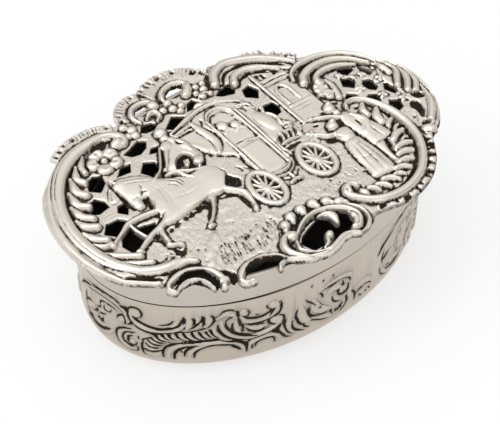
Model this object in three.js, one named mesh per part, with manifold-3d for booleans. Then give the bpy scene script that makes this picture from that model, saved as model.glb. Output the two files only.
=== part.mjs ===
// Oval silver trinket box: plain rim, rounded body and a pierced, raised lid on a back hinge.
// Millimetres, +Z up, origin at the middle of the underside, long axis along X, hinge at +Y.
import * as THREE from "three";
import { mergeVertices } from "three/addons/utils/BufferGeometryUtils.js";
import Module from "manifold-3d";

// Driving dimensions
const BODY_LENGTH = 104; // oval at the seam, outside
const BODY_WIDTH = 71;
const SEAM_HEIGHT = 27.4; // underside to the line where lid and body meet
const RIM_HEIGHT = 8.5; // plain band under the lid panel
const WALL = 1.2; // sheet of wall and rim
const FOOT_RISE = 8.6; // height of the rounded lower edge
const FOOT_INSET = 6.5; // how far that edge draws in
const BASE_THICKNESS = 0.9;
const FLOOR_RISE = 0.4; // middle of the base stands up inside the wall's foot
const SEAM_GAP = 0.3; // shut line between body and lid
const FIT = 0.3; // clearance between soldered or sliding curved faces
const BEZEL_THICKNESS = 0.7;
const BEZEL_DEPTH = 4; // below the seam
const BEZEL_RISE = 1.6; // above the seam
const PANEL_GROUND = 0.9; // lid sheet between the raised work
const RELIEF = 2.1; // height of the main scrolls above the ground
const ROOT = 0.35; // how deep the raised work is set into the sheet
const HINGE_LENGTH = 24;
const KNUCKLE_RADIUS = 1.8;
const PIN_RADIUS = 0.7;
const PIN_PLAY = 0.08; // running clearance of the pin
const PIN_PROUD = 0.3; // pin end beyond the knuckles
const KNUCKLE_COUNT = 5;
const STOP_ANGLE = 106; // bearers meet when the lid has opened this far
const BEARER_REACH = 4.2; // bearer edge measured from the hinge axis
const BEARER_FOOT = 1.6; // bearer's run along the wall past that edge
const BEARER_DEPTH = 3; // block behind the knuckles before it is trimmed to the oval
const DRAWN_OVAL = [104, 71]; // oval that the lid pattern is drawn for

// Fineness of the curves
const OVAL_STEPS = 60; // facets round the oval
const FOOT_STEPS = 7; // facets up the rounded lower edge
const ROUND_STEPS = 20; // facets round knuckles, pin and notches
const OUTLINE_STEPS = 110; // points round the lid's edge
const PIERCING_STEPS = 5;
const WELD = 1e-4; // points nearer than this are one

// Values that follow
const HALF_LENGTH = BODY_LENGTH / 2;
const HALF_WIDTH = BODY_WIDTH / 2;
const PANEL_Z = SEAM_HEIGHT + RIM_HEIGHT;
const HINGE_Y = HALF_WIDTH + FIT + KNUCKLE_RADIUS;
const GROUND_Z = PANEL_Z + PANEL_GROUND;
const GROOVE_RADIUS = KNUCKLE_RADIUS + FIT;

const wasm = await Module();
wasm.setup();

// Solids in and out of the boolean library
function solidOf(geometry) {
  const bare = geometry.clone();
  for (const name of Object.keys(bare.attributes)) {
    if (name !== "position") bare.deleteAttribute(name);
  }
  const merged = mergeVertices(bare, WELD);
  const vertProperties = new Float32Array(merged.attributes.position.array);
  const triVerts = new Uint32Array(merged.index.array);
  const mesh = new wasm.Mesh({ numProp: 3, vertProperties, triVerts });
  mesh.merge();
  return new wasm.Manifold(mesh);
}

function geometryOf(solid) {
  const mesh = solid.getMesh();
  const geometry = new THREE.BufferGeometry();
  geometry.setAttribute("position", new THREE.BufferAttribute(mesh.vertProperties, 3));
  geometry.setIndex(new THREE.BufferAttribute(mesh.triVerts, 1));
  geometry.computeVertexNormals();
  return geometry;
}

function join(geometries) {
  let solids = geometries.map(solidOf);
  while (solids.length > 1) {
    const next = [];
    for (let i = 0; i < solids.length; i += 2) {
      next.push(i + 1 < solids.length ? solids[i].add(solids[i + 1]) : solids[i]);
    }
    solids = next;
  }
  return solids[0];
}

// A section of [inset, z] points turned round the oval. An inset of null is a point on the axis.
function turnOval(section) {
  const radiusOf = (inset) => (inset === null ? 0 : HALF_LENGTH - inset);
  const points = section.map(([inset, z]) => new THREE.Vector2(radiusOf(inset), z));
  const geometry = new THREE.LatheGeometry(points, OVAL_STEPS);
  geometry.rotateX(Math.PI / 2);
  const position = geometry.attributes.position;
  for (let i = 0; i < position.count; i += 1) {
    const radius = Math.hypot(position.getX(i), position.getY(i));
    if (radius > WELD) {
      const angle = Math.atan2(position.getY(i), position.getX(i));
      const narrow = radius - HALF_LENGTH + HALF_WIDTH;
      position.setXY(i, radius * Math.cos(angle), narrow * Math.sin(angle));
    }
  }
  return geometry;
}

// Inset and height of the rounded lower edge at angle t, from flat below (0) to upright (90 degrees)
const footInset = (t) => FOOT_INSET * (1 - Math.sin(t));
const footHeight = (t) => FOOT_RISE * (1 - Math.cos(t));

const footStart = Math.acos(1 - BASE_THICKNESS / FOOT_RISE);
const footAngles = [];
for (let i = 0; i <= FOOT_STEPS; i += 1) {
  footAngles.push(footStart + ((Math.PI / 2 - footStart) * i) / FOOT_STEPS);
}

// Body wall: rounded lower edge, straight side, square top edge
const outside = footAngles.map((t) => [footInset(t), footHeight(t)]);
const inside = footAngles.map((t) => [footInset(t) + WALL, footHeight(t)]).reverse();
const bodyTop = SEAM_HEIGHT - SEAM_GAP / 2;
const wallSection = [...outside, [0, bodyTop], [WALL, bodyTop], ...inside, outside[0]];
const bodyWall = turnOval(wallSection);

// Base plate: its bevelled edge carries the wall's curve down, the wall stands on its margin
const baseEdge = footInset(footStart);
const floorEdge = baseEdge + WALL + FIT;
const floorZ = BASE_THICKNESS + FLOOR_RISE;
const basePlate = turnOval([
  [null, 0],
  [FOOT_INSET, 0],
  [baseEdge, BASE_THICKNESS],
  [floorEdge, BASE_THICKNESS],
  [floorEdge, floorZ],
  [null, floorZ],
]);

function ovalBand(inner, outer, low, high) {
  return turnOval([[inner, low], [outer, low], [outer, high], [inner, high], [inner, low]]);
}

// Bezel strip stands inside the wall and rises into the lid; the rim is the lid's plain band
const bezelOut = WALL + FIT;
const bezelIn = bezelOut + BEZEL_THICKNESS;
const bezelStrip = ovalBand(bezelIn, bezelOut, SEAM_HEIGHT - BEZEL_DEPTH, SEAM_HEIGHT + BEZEL_RISE);
const lidRim = ovalBand(WALL, 0, SEAM_HEIGHT + SEAM_GAP / 2, PANEL_Z);

// Hinge: knuckles on a pin along X, cradled by a bearer on the body and one on the lid
function tubeAlongX(outer, inner, length, middle) {
  const half = length / 2;
  const section = [
    new THREE.Vector2(inner, -half),
    new THREE.Vector2(outer, -half),
    new THREE.Vector2(outer, half),
    new THREE.Vector2(inner, half),
    new THREE.Vector2(inner, -half),
  ];
  const tube = new THREE.LatheGeometry(section, ROUND_STEPS);
  tube.rotateZ(-Math.PI / 2);
  tube.translate(middle, HINGE_Y, SEAM_HEIGHT);
  return tube;
}

const knucklePitch = HINGE_LENGTH / KNUCKLE_COUNT;
function knuckle(index) {
  const middle = (index - (KNUCKLE_COUNT - 1) / 2) * knucklePitch;
  return tubeAlongX(KNUCKLE_RADIUS, PIN_RADIUS + PIN_PLAY, knucklePitch - FIT, middle);
}

function rodAlongX(radius, length) {
  const rod = new THREE.CylinderGeometry(radius, radius, length, ROUND_STEPS);
  rod.rotateZ(Math.PI / 2);
  rod.translate(0, HINGE_Y, SEAM_HEIGHT);
  return rod;
}
const hingePin = rodAlongX(PIN_RADIUS, HINGE_LENGTH + 2 * PIN_PROUD);

// A bearer fills the space between the curved wall and the straight knuckles.
// Its outer face is radial to the axis, so the two bearers meet flat as the lid's stop.
const ovalBlock = turnOval([
  [null, 0],
  [-FIT, 0],
  [-FIT, PANEL_Z],
  [null, PANEL_Z],
]);
const groove = rodAlongX(GROOVE_RADIUS, BODY_LENGTH);

function bearer(side) {
  const half = THREE.MathUtils.degToRad((180 - STOP_ANGLE) / 2);
  const shoulder = GROOVE_RADIUS * Math.cos(half) * side;
  const foot = (BEARER_REACH + BEARER_FOOT) * side;
  const outline = new THREE.Shape();
  outline.moveTo(GROOVE_RADIUS * Math.sin(half), shoulder);
  outline.lineTo(BEARER_REACH * Math.sin(half), BEARER_REACH * Math.cos(half) * side);
  outline.lineTo(-KNUCKLE_RADIUS, foot);
  outline.lineTo(-KNUCKLE_RADIUS - BEARER_DEPTH, foot);
  outline.lineTo(-KNUCKLE_RADIUS - BEARER_DEPTH, shoulder);
  const length = HINGE_LENGTH - FIT;
  const block = new THREE.ExtrudeGeometry(outline, { depth: length, bevelEnabled: false });
  block.translate(0, 0, -length / 2);
  block.rotateX(Math.PI / 2);
  block.rotateZ(Math.PI / 2);
  block.translate(0, HINGE_Y, SEAM_HEIGHT);
  return geometryOf(solidOf(block).subtract(solidOf(ovalBlock)).subtract(solidOf(groove)));
}

// Lid panel: its pattern scales with the body
const scaleX = BODY_LENGTH / DRAWN_OVAL[0];
const scaleY = BODY_WIDTH / DRAWN_OVAL[1];
const at = ([x, y]) => new THREE.Vector2(x * scaleX, y * scaleY);

function curveThrough(points, closed = false) {
  const spatial = points.map((p) => new THREE.Vector3(at(p).x, at(p).y, 0));
  return new THREE.CatmullRomCurve3(spatial, closed, "centripetal");
}

const relief = [];

// Raised bar along a curve, tapering at both ends; a broad one has a flattened top
const BROAD = 1.6;
const BROAD_SECTION = [[-1, 0], [-0.5, 0.95], [0.5, 0.95], [1, 0]];
const SLIM_SECTION = [[-1, 0], [0, 1], [1, 0]];
function bar(points, width, height = RELIEF, taper = 0.5, steps = 2 * points.length - 2) {
  const curve = curveThrough(points);
  const ring = width > BROAD ? BROAD_SECTION : SLIM_SECTION;
  const position = [];
  const index = [];
  const count = ring.length;
  for (let i = 0; i <= steps; i += 1) {
    const u = i / steps;
    const middle = curve.getPoint(u);
    const along = curve.getTangent(u);
    const swell = taper + (1 - taper) * Math.sqrt(Math.sin(Math.PI * u));
    const rise = ROOT + (height * (2 + swell)) / 3;
    for (const [across, up] of ring) {
      const side = (across * width * swell) / 2;
      position.push(middle.x - along.y * side, middle.y + along.x * side, GROUND_Z - ROOT + up * rise);
    }
  }
  for (let i = 0; i < steps; i += 1) {
    for (let j = 0; j < count; j += 1) {
      const a = i * count + j;
      const b = i * count + ((j + 1) % count);
      index.push(a, a + count, b, b, a + count, b + count);
    }
  }
  const last = steps * count;
  for (let j = 1; j < count - 1; j += 1) {
    index.push(0, j, j + 1, last, last + j + 1, last + j);
  }
  const geometry = new THREE.BufferGeometry();
  geometry.setAttribute("position", new THREE.Float32BufferAttribute(position, 3));
  geometry.setIndex(index);
  relief.push(geometry);
  return curve;
}

// Rounded boss: the upper half of a scaled ball standing on the ground
const BOSS_SINK = 0.02;
function boss([x, y], length, width, height, turn = 0, sides = 8, rings = 4) {
  const ball = new THREE.SphereGeometry(1, sides, rings);
  ball.rotateX(Math.PI / 2);
  ball.scale(length / 2, width / 2, height);
  ball.rotateZ(turn);
  ball.translate(at([x, y]).x, at([x, y]).y, GROUND_Z - BOSS_SINK);
  relief.push(ball);
}

// Row of flutes set off to one side of a curve and leaning along it
function flutes(curve, from, to, count, offset, length, width, height, lean) {
  for (let i = 0; i < count; i += 1) {
    const u = from + ((to - from) * i) / (count - 1);
    const middle = curve.getPoint(u);
    const along = curve.getTangent(u);
    const turn = Math.atan2(along.x, -along.y) + lean;
    const x = middle.x - along.y * offset;
    const y = middle.y + along.x * offset;
    boss([x / scaleX, y / scaleY], length, width, height, turn, 6, 2);
  }
}

// Flat raised plate cut from an outline of straight lines
function raised(points, height) {
  const outline = new THREE.Shape(points.map(at));
  const plate = new THREE.ExtrudeGeometry(outline, { depth: height + ROOT, bevelEnabled: false });
  plate.translate(0, 0, GROUND_Z - ROOT);
  relief.push(plate);
}

// Border scrolls
const leftScroll = bar([[-25, 27], [-22.6, 27], [-22.4, 29.6], [-26, 31.8], [-31, 32], [-38, 30],
  [-45.5, 24], [-50.5, 15], [-52.3, 4], [-51, -5.5], [-46.5, -13.2], [-40, -17.2], [-33.5, -19.2]],
  2.9, RELIEF, 0.55, 28);
bar([[-42, 30.8], [-47.5, 25.5], [-53, 16.5], [-55.3, 5], [-54.6, -6.5], [-50.8, -14],
  [-44.5, -19.3]], 1.5, 1.1, 0.6);
flutes(leftScroll, 0.34, 0.8, 11, 4.4, 5.6, 1.9, 1.3, 0.55);
flutes(leftScroll, 0.19, 0.33, 8, -2.6, 3.4, 1.6, 0.8, 0);
const rightScroll = bar([[33.4, 0.6], [36.2, 1.9], [39.3, -0.6], [41.6, -5.5], [42.2, -13],
  [40, -21.5], [34.5, -28.5], [27.5, -32.2], [20.5, -32.6], [14.6, -29.6], [11.5, -25.6],
  [12.8, -22.9], [15.6, -23.6]], 2.5, RELIEF, 0.6, 28);
flutes(rightScroll, 0.2, 0.76, 13, -4, 4.6, 1.7, 1.2, -0.35);
flutes(rightScroll, 0.45, 0.83, 12, 2.1, 2.2, 1.7, 1, 0);
bar([[13.4, 29.4], [11.6, 32.2], [13.4, 35.2], [17.5, 36.2], [23, 34.4], [28.5, 30.6], [32.9, 25]],
  2.2);
const upperScroll = bar([[15, 30.4], [18, 32.4], [22, 32], [27, 29], [31.2, 24]], 1.5, 1.4);
flutes(upperScroll, 0.35, 0.97, 8, 3.9, 2.4, 1.6, 0.8, 0);
bar([[31.6, 15.8], [30, 18.4], [31.6, 21.4], [37, 23.4], [43, 22], [48.6, 17.2], [51.8, 11.2]], 2.2);
bar([[33, 18.6], [37.4, 20.7], [43, 18.8], [47.6, 14.8], [50.4, 10.2]], 1.5, 1.4);
bar([[33.4, 15.4], [37.6, 17.2], [42.4, 16.6], [45.8, 14.2]], 1.3, 1);
bar([[37.4, 15], [38.4, 11.6], [36.4, 8.2]], 1.3, 1.1);

// Leaf at the right end
bar([[54, 9.6], [56.3, 4], [56.8, -3], [55.6, -9.6], [51.8, -16], [45.6, -20.4]], 2, 1.3);
boss([52.6, 2.4], 10, 2.2, 1.2, 1.05);
boss([54.2, -2.2], 8, 2.1, 1.3, 0.85);
boss([51.6, -11.4], 7.6, 2.6, 1.3, 0.95);
boss([49.6, -15.4], 6, 2, 1.1, 0.75);
boss([46.2, -12.2], 4, 3, 1.2);

// Crest of two eyes with a frill above, and small blossoms between
const leftEye = bar([[-14.6, 31.2], [-16.2, 33.4], [-14.6, 36.4], [-11, 37.3], [-7.6, 36],
  [-6.9, 33.6], [-8.9, 32.6]], 1.7, 1.6, 0.7);
const rightEye = bar([[-3, 31.8], [-4.1, 34.4], [-2.6, 37.2], [0.8, 38.2], [4.4, 36.8], [5, 34],
  [2.8, 32.4]], 1.7, 1.6, 0.7);
flutes(leftEye, 0.2, 0.62, 7, 2.9, 3.8, 1.5, 0.8, 0);
flutes(rightEye, 0.2, 0.74, 10, 3.5, 5, 1.6, 0.8, 0);
for (const [x, y] of [[-7.2, 30.6], [-4.4, 29.6], [-1.6, 30], [4.4, 30.6], [7, 31], [5.6, 28.4],
  [8.2, 33.2]]) {
  boss([x, y], 2.5, 2.5, 1.3, 0, 6);
}
boss([-18.6, 28.4], 4.4, 3.6, 1.4, 0.7);
boss([-22, 33.4], 5, 2.4, 0.9, 0.2);

// Blossom in the left scroll
for (let i = 0; i < 5; i += 1) {
  const turn = 0.58 + (i * 2 * Math.PI) / 5;
  boss([-31 + 3.2 * Math.cos(turn), 24.2 + 3.1 * Math.sin(turn)], 4, 3.2, 1.5, turn);
}
boss([-31, 24.2], 2.2, 2.2, 2);

// Front cartouche with pearls, and the two arches beside it
bar([[-7.6, -28], [-4.4, -25.6], [0, -24.7], [4.6, -25.6], [8.4, -28.8], [9.4, -32.2],
  [7.6, -35.4]], 1.6, 1.5, 0.6);
bar([[-8.2, -28.6], [-11, -28], [-12.6, -30.8], [-11.6, -34.2], [-8.4, -36.8], [-4, -37.6],
  [0.6, -36], [4.6, -36.6]], 1.7, 1.5, 0.6);
bar([[-17.6, -34.8], [-14.8, -34], [-11.6, -36], [-8.6, -37.2]], 1.3, 1, 0.6);
bar([[0.4, -25.6], [3, -27.4], [3.4, -30.4], [0.6, -33], [-1, -36.6]], 1.7, 1.3, 0.7);
for (const [x, y] of [[-8, -23.8], [-5, -22.3], [-1.3, -21.9], [2.7, -22.2], [6, -23.4],
  [8.7, -25.3]]) {
  boss([x, y], 2.7, 3, 1.6, 0, 8);
}
bar([[-25.4, -32.2], [-27.6, -31.4], [-27.4, -29], [-24.4, -27.4], [-20.4, -26.9], [-16.4, -27.8],
  [-14, -31]], 1.6, 1.5, 0.7);
bar([[-43.8, -23.4], [-42.4, -20.8], [-38.6, -20.2], [-34.4, -21.8], [-31.4, -25.4], [-31, -30.6]],
  1.8, 1.6, 0.7);

// Coach: body with roof, window arch, door and undercarriage
raised([[-11, 18.6], [-10, 21], [-3.5, 24], [2.5, 24.8], [8, 23.4], [12, 20], [13.6, 17.4],
  [12.4, 13], [14.8, 8], [14, 5], [9.4, 4], [8.6, -7], [-0.6, -7], [-1.6, 5.6], [-5.6, 7]], 0.7);
bar([[-11.2, 20], [-6, 22.6], [2, 24.4], [8.2, 23], [13, 18.6]], 1.3, 1.5, 0.8);
bar([[-0.2, 7], [-0.2, 17], [1.2, 20.4], [3.4, 21.4], [5.8, 20.4], [7.2, 17], [7.2, 7]], 1.1, 1.4, 0.9);
bar([[-0.8, 6.6], [7.8, 6.6]], 0.9, 1.2, 0.9, 4);
bar([[-0.8, 6], [-0.6, -7], [3.6, -8], [8.2, -7], [8.4, 6]], 1, 1.3, 0.9);
bar([[-11.4, 18.2], [-8.4, 12.8], [-4.6, 8.4], [-1.6, 8.6], [-1.4, 14]], 1.1, 1.3, 0.8);
bar([[9.6, 3.6], [9.2, -2], [11.4, -3.6], [14.6, -2]], 1, 1, 0.8);
bar([[1.6, -9.2], [4.8, -10.6], [8.2, -8.6]], 0.9, 0.9, 0.8);
boss([4.9, -12.4], 3.6, 1.6, 1, 0, 6);
boss([2, 15.4], 2.2, 2.8, 1.6, 0, 6);
boss([5.2, 14.2], 2, 2.4, 1.5, 0, 6);

// Spoked wheels seen a little from the side, so narrower than they are tall
const TYRE = 1.1;
const TYRE_RISE = 1.3;
const SPOKE = 0.5;
const SPOKE_RISE = 0.9;
const SPOKE_PAIRS = 6;
function wheel([x, y], width, height) {
  const middle = at([x, y]);
  const tyre = new THREE.Shape();
  tyre.absellipse(middle.x, middle.y, width / 2, height / 2, 0, 2 * Math.PI);
  const gap = new THREE.Path();
  gap.absellipse(middle.x, middle.y, width / 2 - TYRE, height / 2 - TYRE, 0, 2 * Math.PI);
  tyre.holes.push(gap);
  const options = { depth: TYRE_RISE + ROOT, bevelEnabled: false, curveSegments: ROUND_STEPS / 2 };
  const ring = new THREE.ExtrudeGeometry(tyre, options);
  ring.translate(0, 0, GROUND_Z - ROOT);
  relief.push(ring);
  for (let i = 0; i < SPOKE_PAIRS; i += 1) {
    const spoke = new THREE.BoxGeometry(width - TYRE, SPOKE, SPOKE_RISE + ROOT);
    spoke.rotateZ((i * Math.PI) / SPOKE_PAIRS);
    spoke.scale(1, (height - TYRE) / (width - TYRE), 1);
    spoke.translate(middle.x, middle.y, GROUND_Z + (SPOKE_RISE - ROOT) / 2);
    relief.push(spoke);
  }
  boss([x, y], 1.8, 2.2, 1.7, 0, 6);
}
wheel([-3, -10.2], 9.4, 14.2);
wheel([14.2, -9.7], 9.6, 14);

// Horse at the trot, with reins, and the driver on the box
boss([-21, 1.4], 21, 10, 2, -0.12, 14);
boss([-27.6, 3.4], 9, 9.6, 2.1, 0.4, 10);
boss([-13.4, -0.6], 8.6, 9, 2, 0, 10);
bar([[-26.4, 6], [-30, 11.6], [-33.4, 15.4]], 5.4, 1.7, 0.7);
bar([[-32.6, 16.4], [-35.2, 13.4], [-37.6, 10.2]], 2.8, 1.6, 0.6);
bar([[-29.4, -0.4], [-35, 0.4], [-40.6, 0], [-46.8, -2.8]], 1.9, 1.2, 0.5);
bar([[-30.6, -3], [-36.4, -5], [-42.8, -8.4]], 1.9, 1.2, 0.5);
bar([[-33.8, -4.6], [-34.6, -9.8], [-33, -12.8]], 1.7, 1.2, 0.6);
bar([[-15.8, -3], [-19.4, -8], [-23.4, -12.4]], 2.4, 1.3, 0.4);
bar([[-11.6, -3.6], [-9.2, -7], [-9.4, -13.6]], 2.3, 1.3, 0.5);
bar([[-39.4, 0], [-38.6, -5.4]], 0.9, 0.6, 0.9, 3);
bar([[-30, 9.4], [-23.4, 11], [-15.4, 17.6]], 0.9, 0.9, 0.9);
boss([-12.8, 13.4], 8, 10.6, 1.9, 0.3, 10);
boss([-13.2, 22], 3, 3.2, 2.2, 0, 8);
boss([-13.2, 24.6], 4, 2.6, 1.7, 0, 8);
bar([[-13.8, 17.4], [-17.6, 15], [-20.2, 11.8]], 1.8, 1.4, 0.6);

// House front with two storeys, and leaves beside it
raised([[19.8, 3.4], [19.8, 28.6], [23, 29], [29.4, 24.6], [29.4, 7]], 0.5);
raised([[19.4, 3], [19.4, 29], [20.6, 29], [20.6, 3]], 1);
raised([[20.6, 20.8], [20.6, 22], [30, 22], [30, 20.8]], 0.9);
bar([[22.6, 12], [22.6, 16.8], [24.2, 19], [25.8, 16.8], [25.8, 12]], 0.8, 0.9, 0.9);
raised([[20.6, 9], [20.6, 10], [29.4, 10], [29.4, 9]], 0.8);
for (const [x, y, size] of [[33, 11, 4.4], [33.6, 7.4, 3.8], [30, 4.6, 4.4], [30.2, 8.4, 3]]) {
  boss([x, y], size, size, 1.5, 0.4, 7);
}

// Couple standing at the right, plain rounded heads
bar([[25.4, -5], [25.4, -14], [25.8, -25.2]], 7, 1.5, 0.5);
boss([25.4, -6.6], 4.6, 5.6, 1.9, 0, 8);
boss([25.2, -2.2], 3, 3.4, 2.1, 0, 8);
boss([24.4, 0.4], 4, 2.2, 1.5, 0.4, 7);
bar([[23.8, -6], [21.8, -4.4], [21, -1.8]], 1.3, 1.2, 0.7);
bar([[31.4, -2.8], [31.6, -8.6], [31.6, -14.8]], 4.8, 1.5, 0.7);
bar([[30.6, -14], [30.4, -23.4]], 1.7, 1.2, 0.7, 4);
bar([[32.8, -14], [32.6, -23]], 1.7, 1.2, 0.7, 4);
boss([30.8, -0.4], 2.8, 3.2, 2.1, 0, 8);
boss([30.8, 1.6], 3.8, 2, 1.6, 0, 7);

// Panel outline: lobes of the rococo border, drawn clockwise from the left end
const outline = curveThrough([[-56.5, 2], [-55.8, 10], [-52, 20], [-44.6, 29], [-38, 34],
  [-31, 36.9], [-25.4, 35.6], [-20.6, 34.4], [-18, 38.4], [-13, 40.6], [-8, 41.8], [-3, 43.3],
  [3, 42.8], [9, 40.2], [12, 37.8], [17, 37.7], [25, 35.6], [31, 32.2], [36, 26.8], [40, 24.3],
  [46, 20.6], [51, 14.5], [53.6, 11], [56.6, 6], [57.4, -2], [56, -10.5], [52.5, -16.6], [47, -21],
  [43.4, -23], [39, -28], [34, -32.4], [26, -35.4], [18, -35.8], [12, -35.8], [8.5, -37.9],
  [3, -37.6], [-4, -38.7], [-11, -37.4], [-18, -35.8], [-26, -33.4], [-33, -31.6], [-40, -26.4],
  [-45.4, -20.6], [-51, -14.8], [-54.8, -8]], true);
const edgePoints = outline.getSpacedPoints(OUTLINE_STEPS).slice(0, -1);
const panelShape = new THREE.Shape(edgePoints.map((p) => new THREE.Vector2(p.x, p.y)));

// Pierced openings as [x, y, length, width, turn]
const leftPiercing = [[-37.2, 18.4, 6.4, 5.2, 0.7], [-41.6, 11.7, 5.4, 5, 0],
  [-42, 2.6, 7.2, 4.2, 0.2], [-36.8, 6.6, 3.2, 4.2, 0], [-28.4, 18.5, 5.4, 2.8, 0.3],
  [-21.4, 22.9, 7.6, 3.2, 0.2], [-22.8, 14.9, 5.2, 5.4, 0.6], [-17.7, 19.7, 3.6, 2.4, 0.4],
  [-42, -3.8, 4.2, 6.4, -0.3], [-35.8, -2.2, 4, 3.2, -0.3]];
const crownPiercing = [[-13.9, 27.9, 5.6, 3.2, 0], [-7.2, 25.2, 6.6, 3.6, 0.4],
  [0.8, 27.9, 4.6, 3, 0.4], [7, 23.6, 5, 2.2, -0.6], [11.5, 26.8, 6, 3.4, -0.2],
  [17, 22, 4.4, 5.6, 0], [17.2, 13.2, 4.6, 5.2, 0], [-11.8, 34.2, 4.8, 2.8, 0.2],
  [0.2, 34.7, 5.4, 3.8, 0.2]];
const rightPiercing = [[43.3, 13.6, 4.6, 3.8, 0], [40.4, 8.7, 4, 5, 0],
  [48.2, 10.2, 3.4, 5.2, 0.3], [44.7, 4.6, 3, 5.2, 0], [37.6, 3.8, 4, 3, -0.6],
  [42, -0.7, 3.2, 4.4, 0.2], [48.5, 0.1, 3.2, 5, 0], [45.2, -6, 4.4, 4.8, 0]];
const frontPiercing = [[-5.4, -31, 6.6, 6.4, 0.3], [5, -31.6, 5, 5.4, 0]];
const piercings = [...leftPiercing, ...crownPiercing, ...rightPiercing, ...frontPiercing];
for (const [x, y, length, width, turn] of piercings) {
  const hole = new THREE.Path();
  hole.absellipse(at([x, y]).x, at([x, y]).y, length / 2, width / 2, 0, 2 * Math.PI, false, turn);
  panelShape.holes.push(hole);
}
const sheetOptions = { depth: PANEL_GROUND, bevelEnabled: false, curveSegments: PIERCING_STEPS };
const sheet = new THREE.ExtrudeGeometry(panelShape, sheetOptions);
sheet.translate(0, 0, PANEL_Z);

// Open notches under the two front arches
function notch([x, y], length, width, turn) {
  const block = new THREE.CylinderGeometry(1, 1, 4 * PANEL_GROUND, ROUND_STEPS);
  block.rotateX(Math.PI / 2);
  block.scale(length / 2, width / 2, 1);
  block.rotateZ(turn);
  block.translate(at([x, y]).x, at([x, y]).y, PANEL_Z);
  return solidOf(block);
}
const middleNotch = notch([-20, -32.4], 10.4, 8.6, -0.15);
const leftNotch = notch([-38.6, -28.6], 11, 9.4, -0.7);
const cutSheet = geometryOf(solidOf(sheet).subtract(middleNotch).subtract(leftNotch));

// Join the raised work to the sheet and keep the underside flat where it rests on the rim
const below = new THREE.BoxGeometry(2 * BODY_LENGTH, 2 * BODY_WIDTH, RIM_HEIGHT);
below.translate(0, 0, PANEL_Z - RIM_HEIGHT / 2);
const lidPanel = geometryOf(join([cutSheet, ...relief]).subtract(solidOf(below)));

// Scene graph
const silver = (color, roughness) => new THREE.MeshStandardMaterial({ color, roughness, metalness: 1 });
const box = new THREE.Group();
function place(name, geometry, material) {
  const mesh = new THREE.Mesh(geometry, material);
  mesh.name = name;
  box.add(mesh);
}
place("body_wall", bodyWall, silver(0xcdc6bc, 0.32));
place("base_plate", basePlate, silver(0xc6bfb5, 0.4));
place("bezel_strip", bezelStrip, silver(0xd2ccc3, 0.3));
place("hinge_bearer_body", bearer(-1), silver(0xc2bbb0, 0.38));
place("hinge_knuckle_body_left", knuckle(0), silver(0xc6c0b6, 0.34));
place("hinge_knuckle_body_middle", knuckle(2), silver(0xc6c0b6, 0.34));
place("hinge_knuckle_body_right", knuckle(4), silver(0xc6c0b6, 0.34));
place("hinge_pin", hingePin, silver(0xb9b4ac, 0.3));
place("lid_rim", lidRim, silver(0xcdc6bc, 0.32));
place("lid_panel", lidPanel, silver(0xd8d2c8, 0.28));
place("hinge_bearer_lid", bearer(1), silver(0xc2bbb0, 0.38));
place("hinge_knuckle_lid_left", knuckle(1), silver(0xc6c0b6, 0.34));
place("hinge_knuckle_lid_right", knuckle(3), silver(0xc6c0b6, 0.34));

export default box;
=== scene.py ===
"""Looks of the oval silver trinket box: pierced raised lid, chased body, plain rim and back hinge."""
import math

import bpy
import numpy as np
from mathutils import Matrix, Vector


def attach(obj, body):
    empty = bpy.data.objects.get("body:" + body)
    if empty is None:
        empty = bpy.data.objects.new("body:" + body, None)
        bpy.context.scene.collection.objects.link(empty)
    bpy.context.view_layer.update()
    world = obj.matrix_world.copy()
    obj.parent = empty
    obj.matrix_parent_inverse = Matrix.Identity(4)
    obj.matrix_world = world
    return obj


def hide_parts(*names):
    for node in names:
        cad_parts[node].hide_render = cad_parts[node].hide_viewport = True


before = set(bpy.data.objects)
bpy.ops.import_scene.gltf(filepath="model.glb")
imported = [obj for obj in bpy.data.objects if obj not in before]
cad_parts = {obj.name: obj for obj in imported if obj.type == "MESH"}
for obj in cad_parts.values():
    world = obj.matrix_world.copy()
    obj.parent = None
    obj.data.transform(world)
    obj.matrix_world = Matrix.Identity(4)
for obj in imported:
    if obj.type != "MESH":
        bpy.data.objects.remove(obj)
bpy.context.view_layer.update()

# Sizes in millimetres, in the frame of the solids
HALF_LENGTH, HALF_WIDTH = 52.0, 35.5
SEAM_Z, RIM_HEIGHT, SEAM_GAP = 27.4, 8.5, 0.04
WALL, FIT = 1.2, 0.3
FOOT_RISE, FOOT_INSET = 8.6, 6.5
BASE_THICKNESS, FLOOR_RISE = 0.9, 0.4
BEZEL_THICKNESS, BEZEL_DEPTH, BEZEL_RISE = 0.7, 4.0, 1.6
PANEL_Z = SEAM_Z + RIM_HEIGHT
GROUND = 0.9
HINGE_LENGTH, KNUCKLE_RADIUS, PIN_RADIUS, KNUCKLES = 24.0, 1.8, 0.7, 5
HINGE_Y = HALF_WIDTH + FIT + KNUCKLE_RADIUS
MM = 0.001
# Grid steps of the two reliefs, and the value on a grid where there is nothing
LID_STEP, WALL_STEP = 0.22, 0.2
NOTHING = -9.0
# Room left round a shape on the grid, and the spacing of points on a closed loop
MARGIN, LOOP_SPACING = 0.6, 0.6
# Height that stays at the thin tip of a stroke, spread of a groove, and how ragged a recess is
TIP_SHARE, GROOVE_SPREAD, RAGGED_EDGE = 0.45, 0.3, 2.4
# Frills: ripple of the edge, slits cut through to the dark, and pleats pressed in between
RIPPLE, SLIT_DEPTH = 0.03, 1.6
PLEAT_WIDTH, PLEAT_DEPTH, PLEAT_STOP = 0.4, 0.24, 0.92
# Oxide value that stands for the dark inside the box: painted shade, with some tarnish
INSIDE_TARNISH_SHADE = -1.0
SHARP_ANGLE = math.radians(60)


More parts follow.
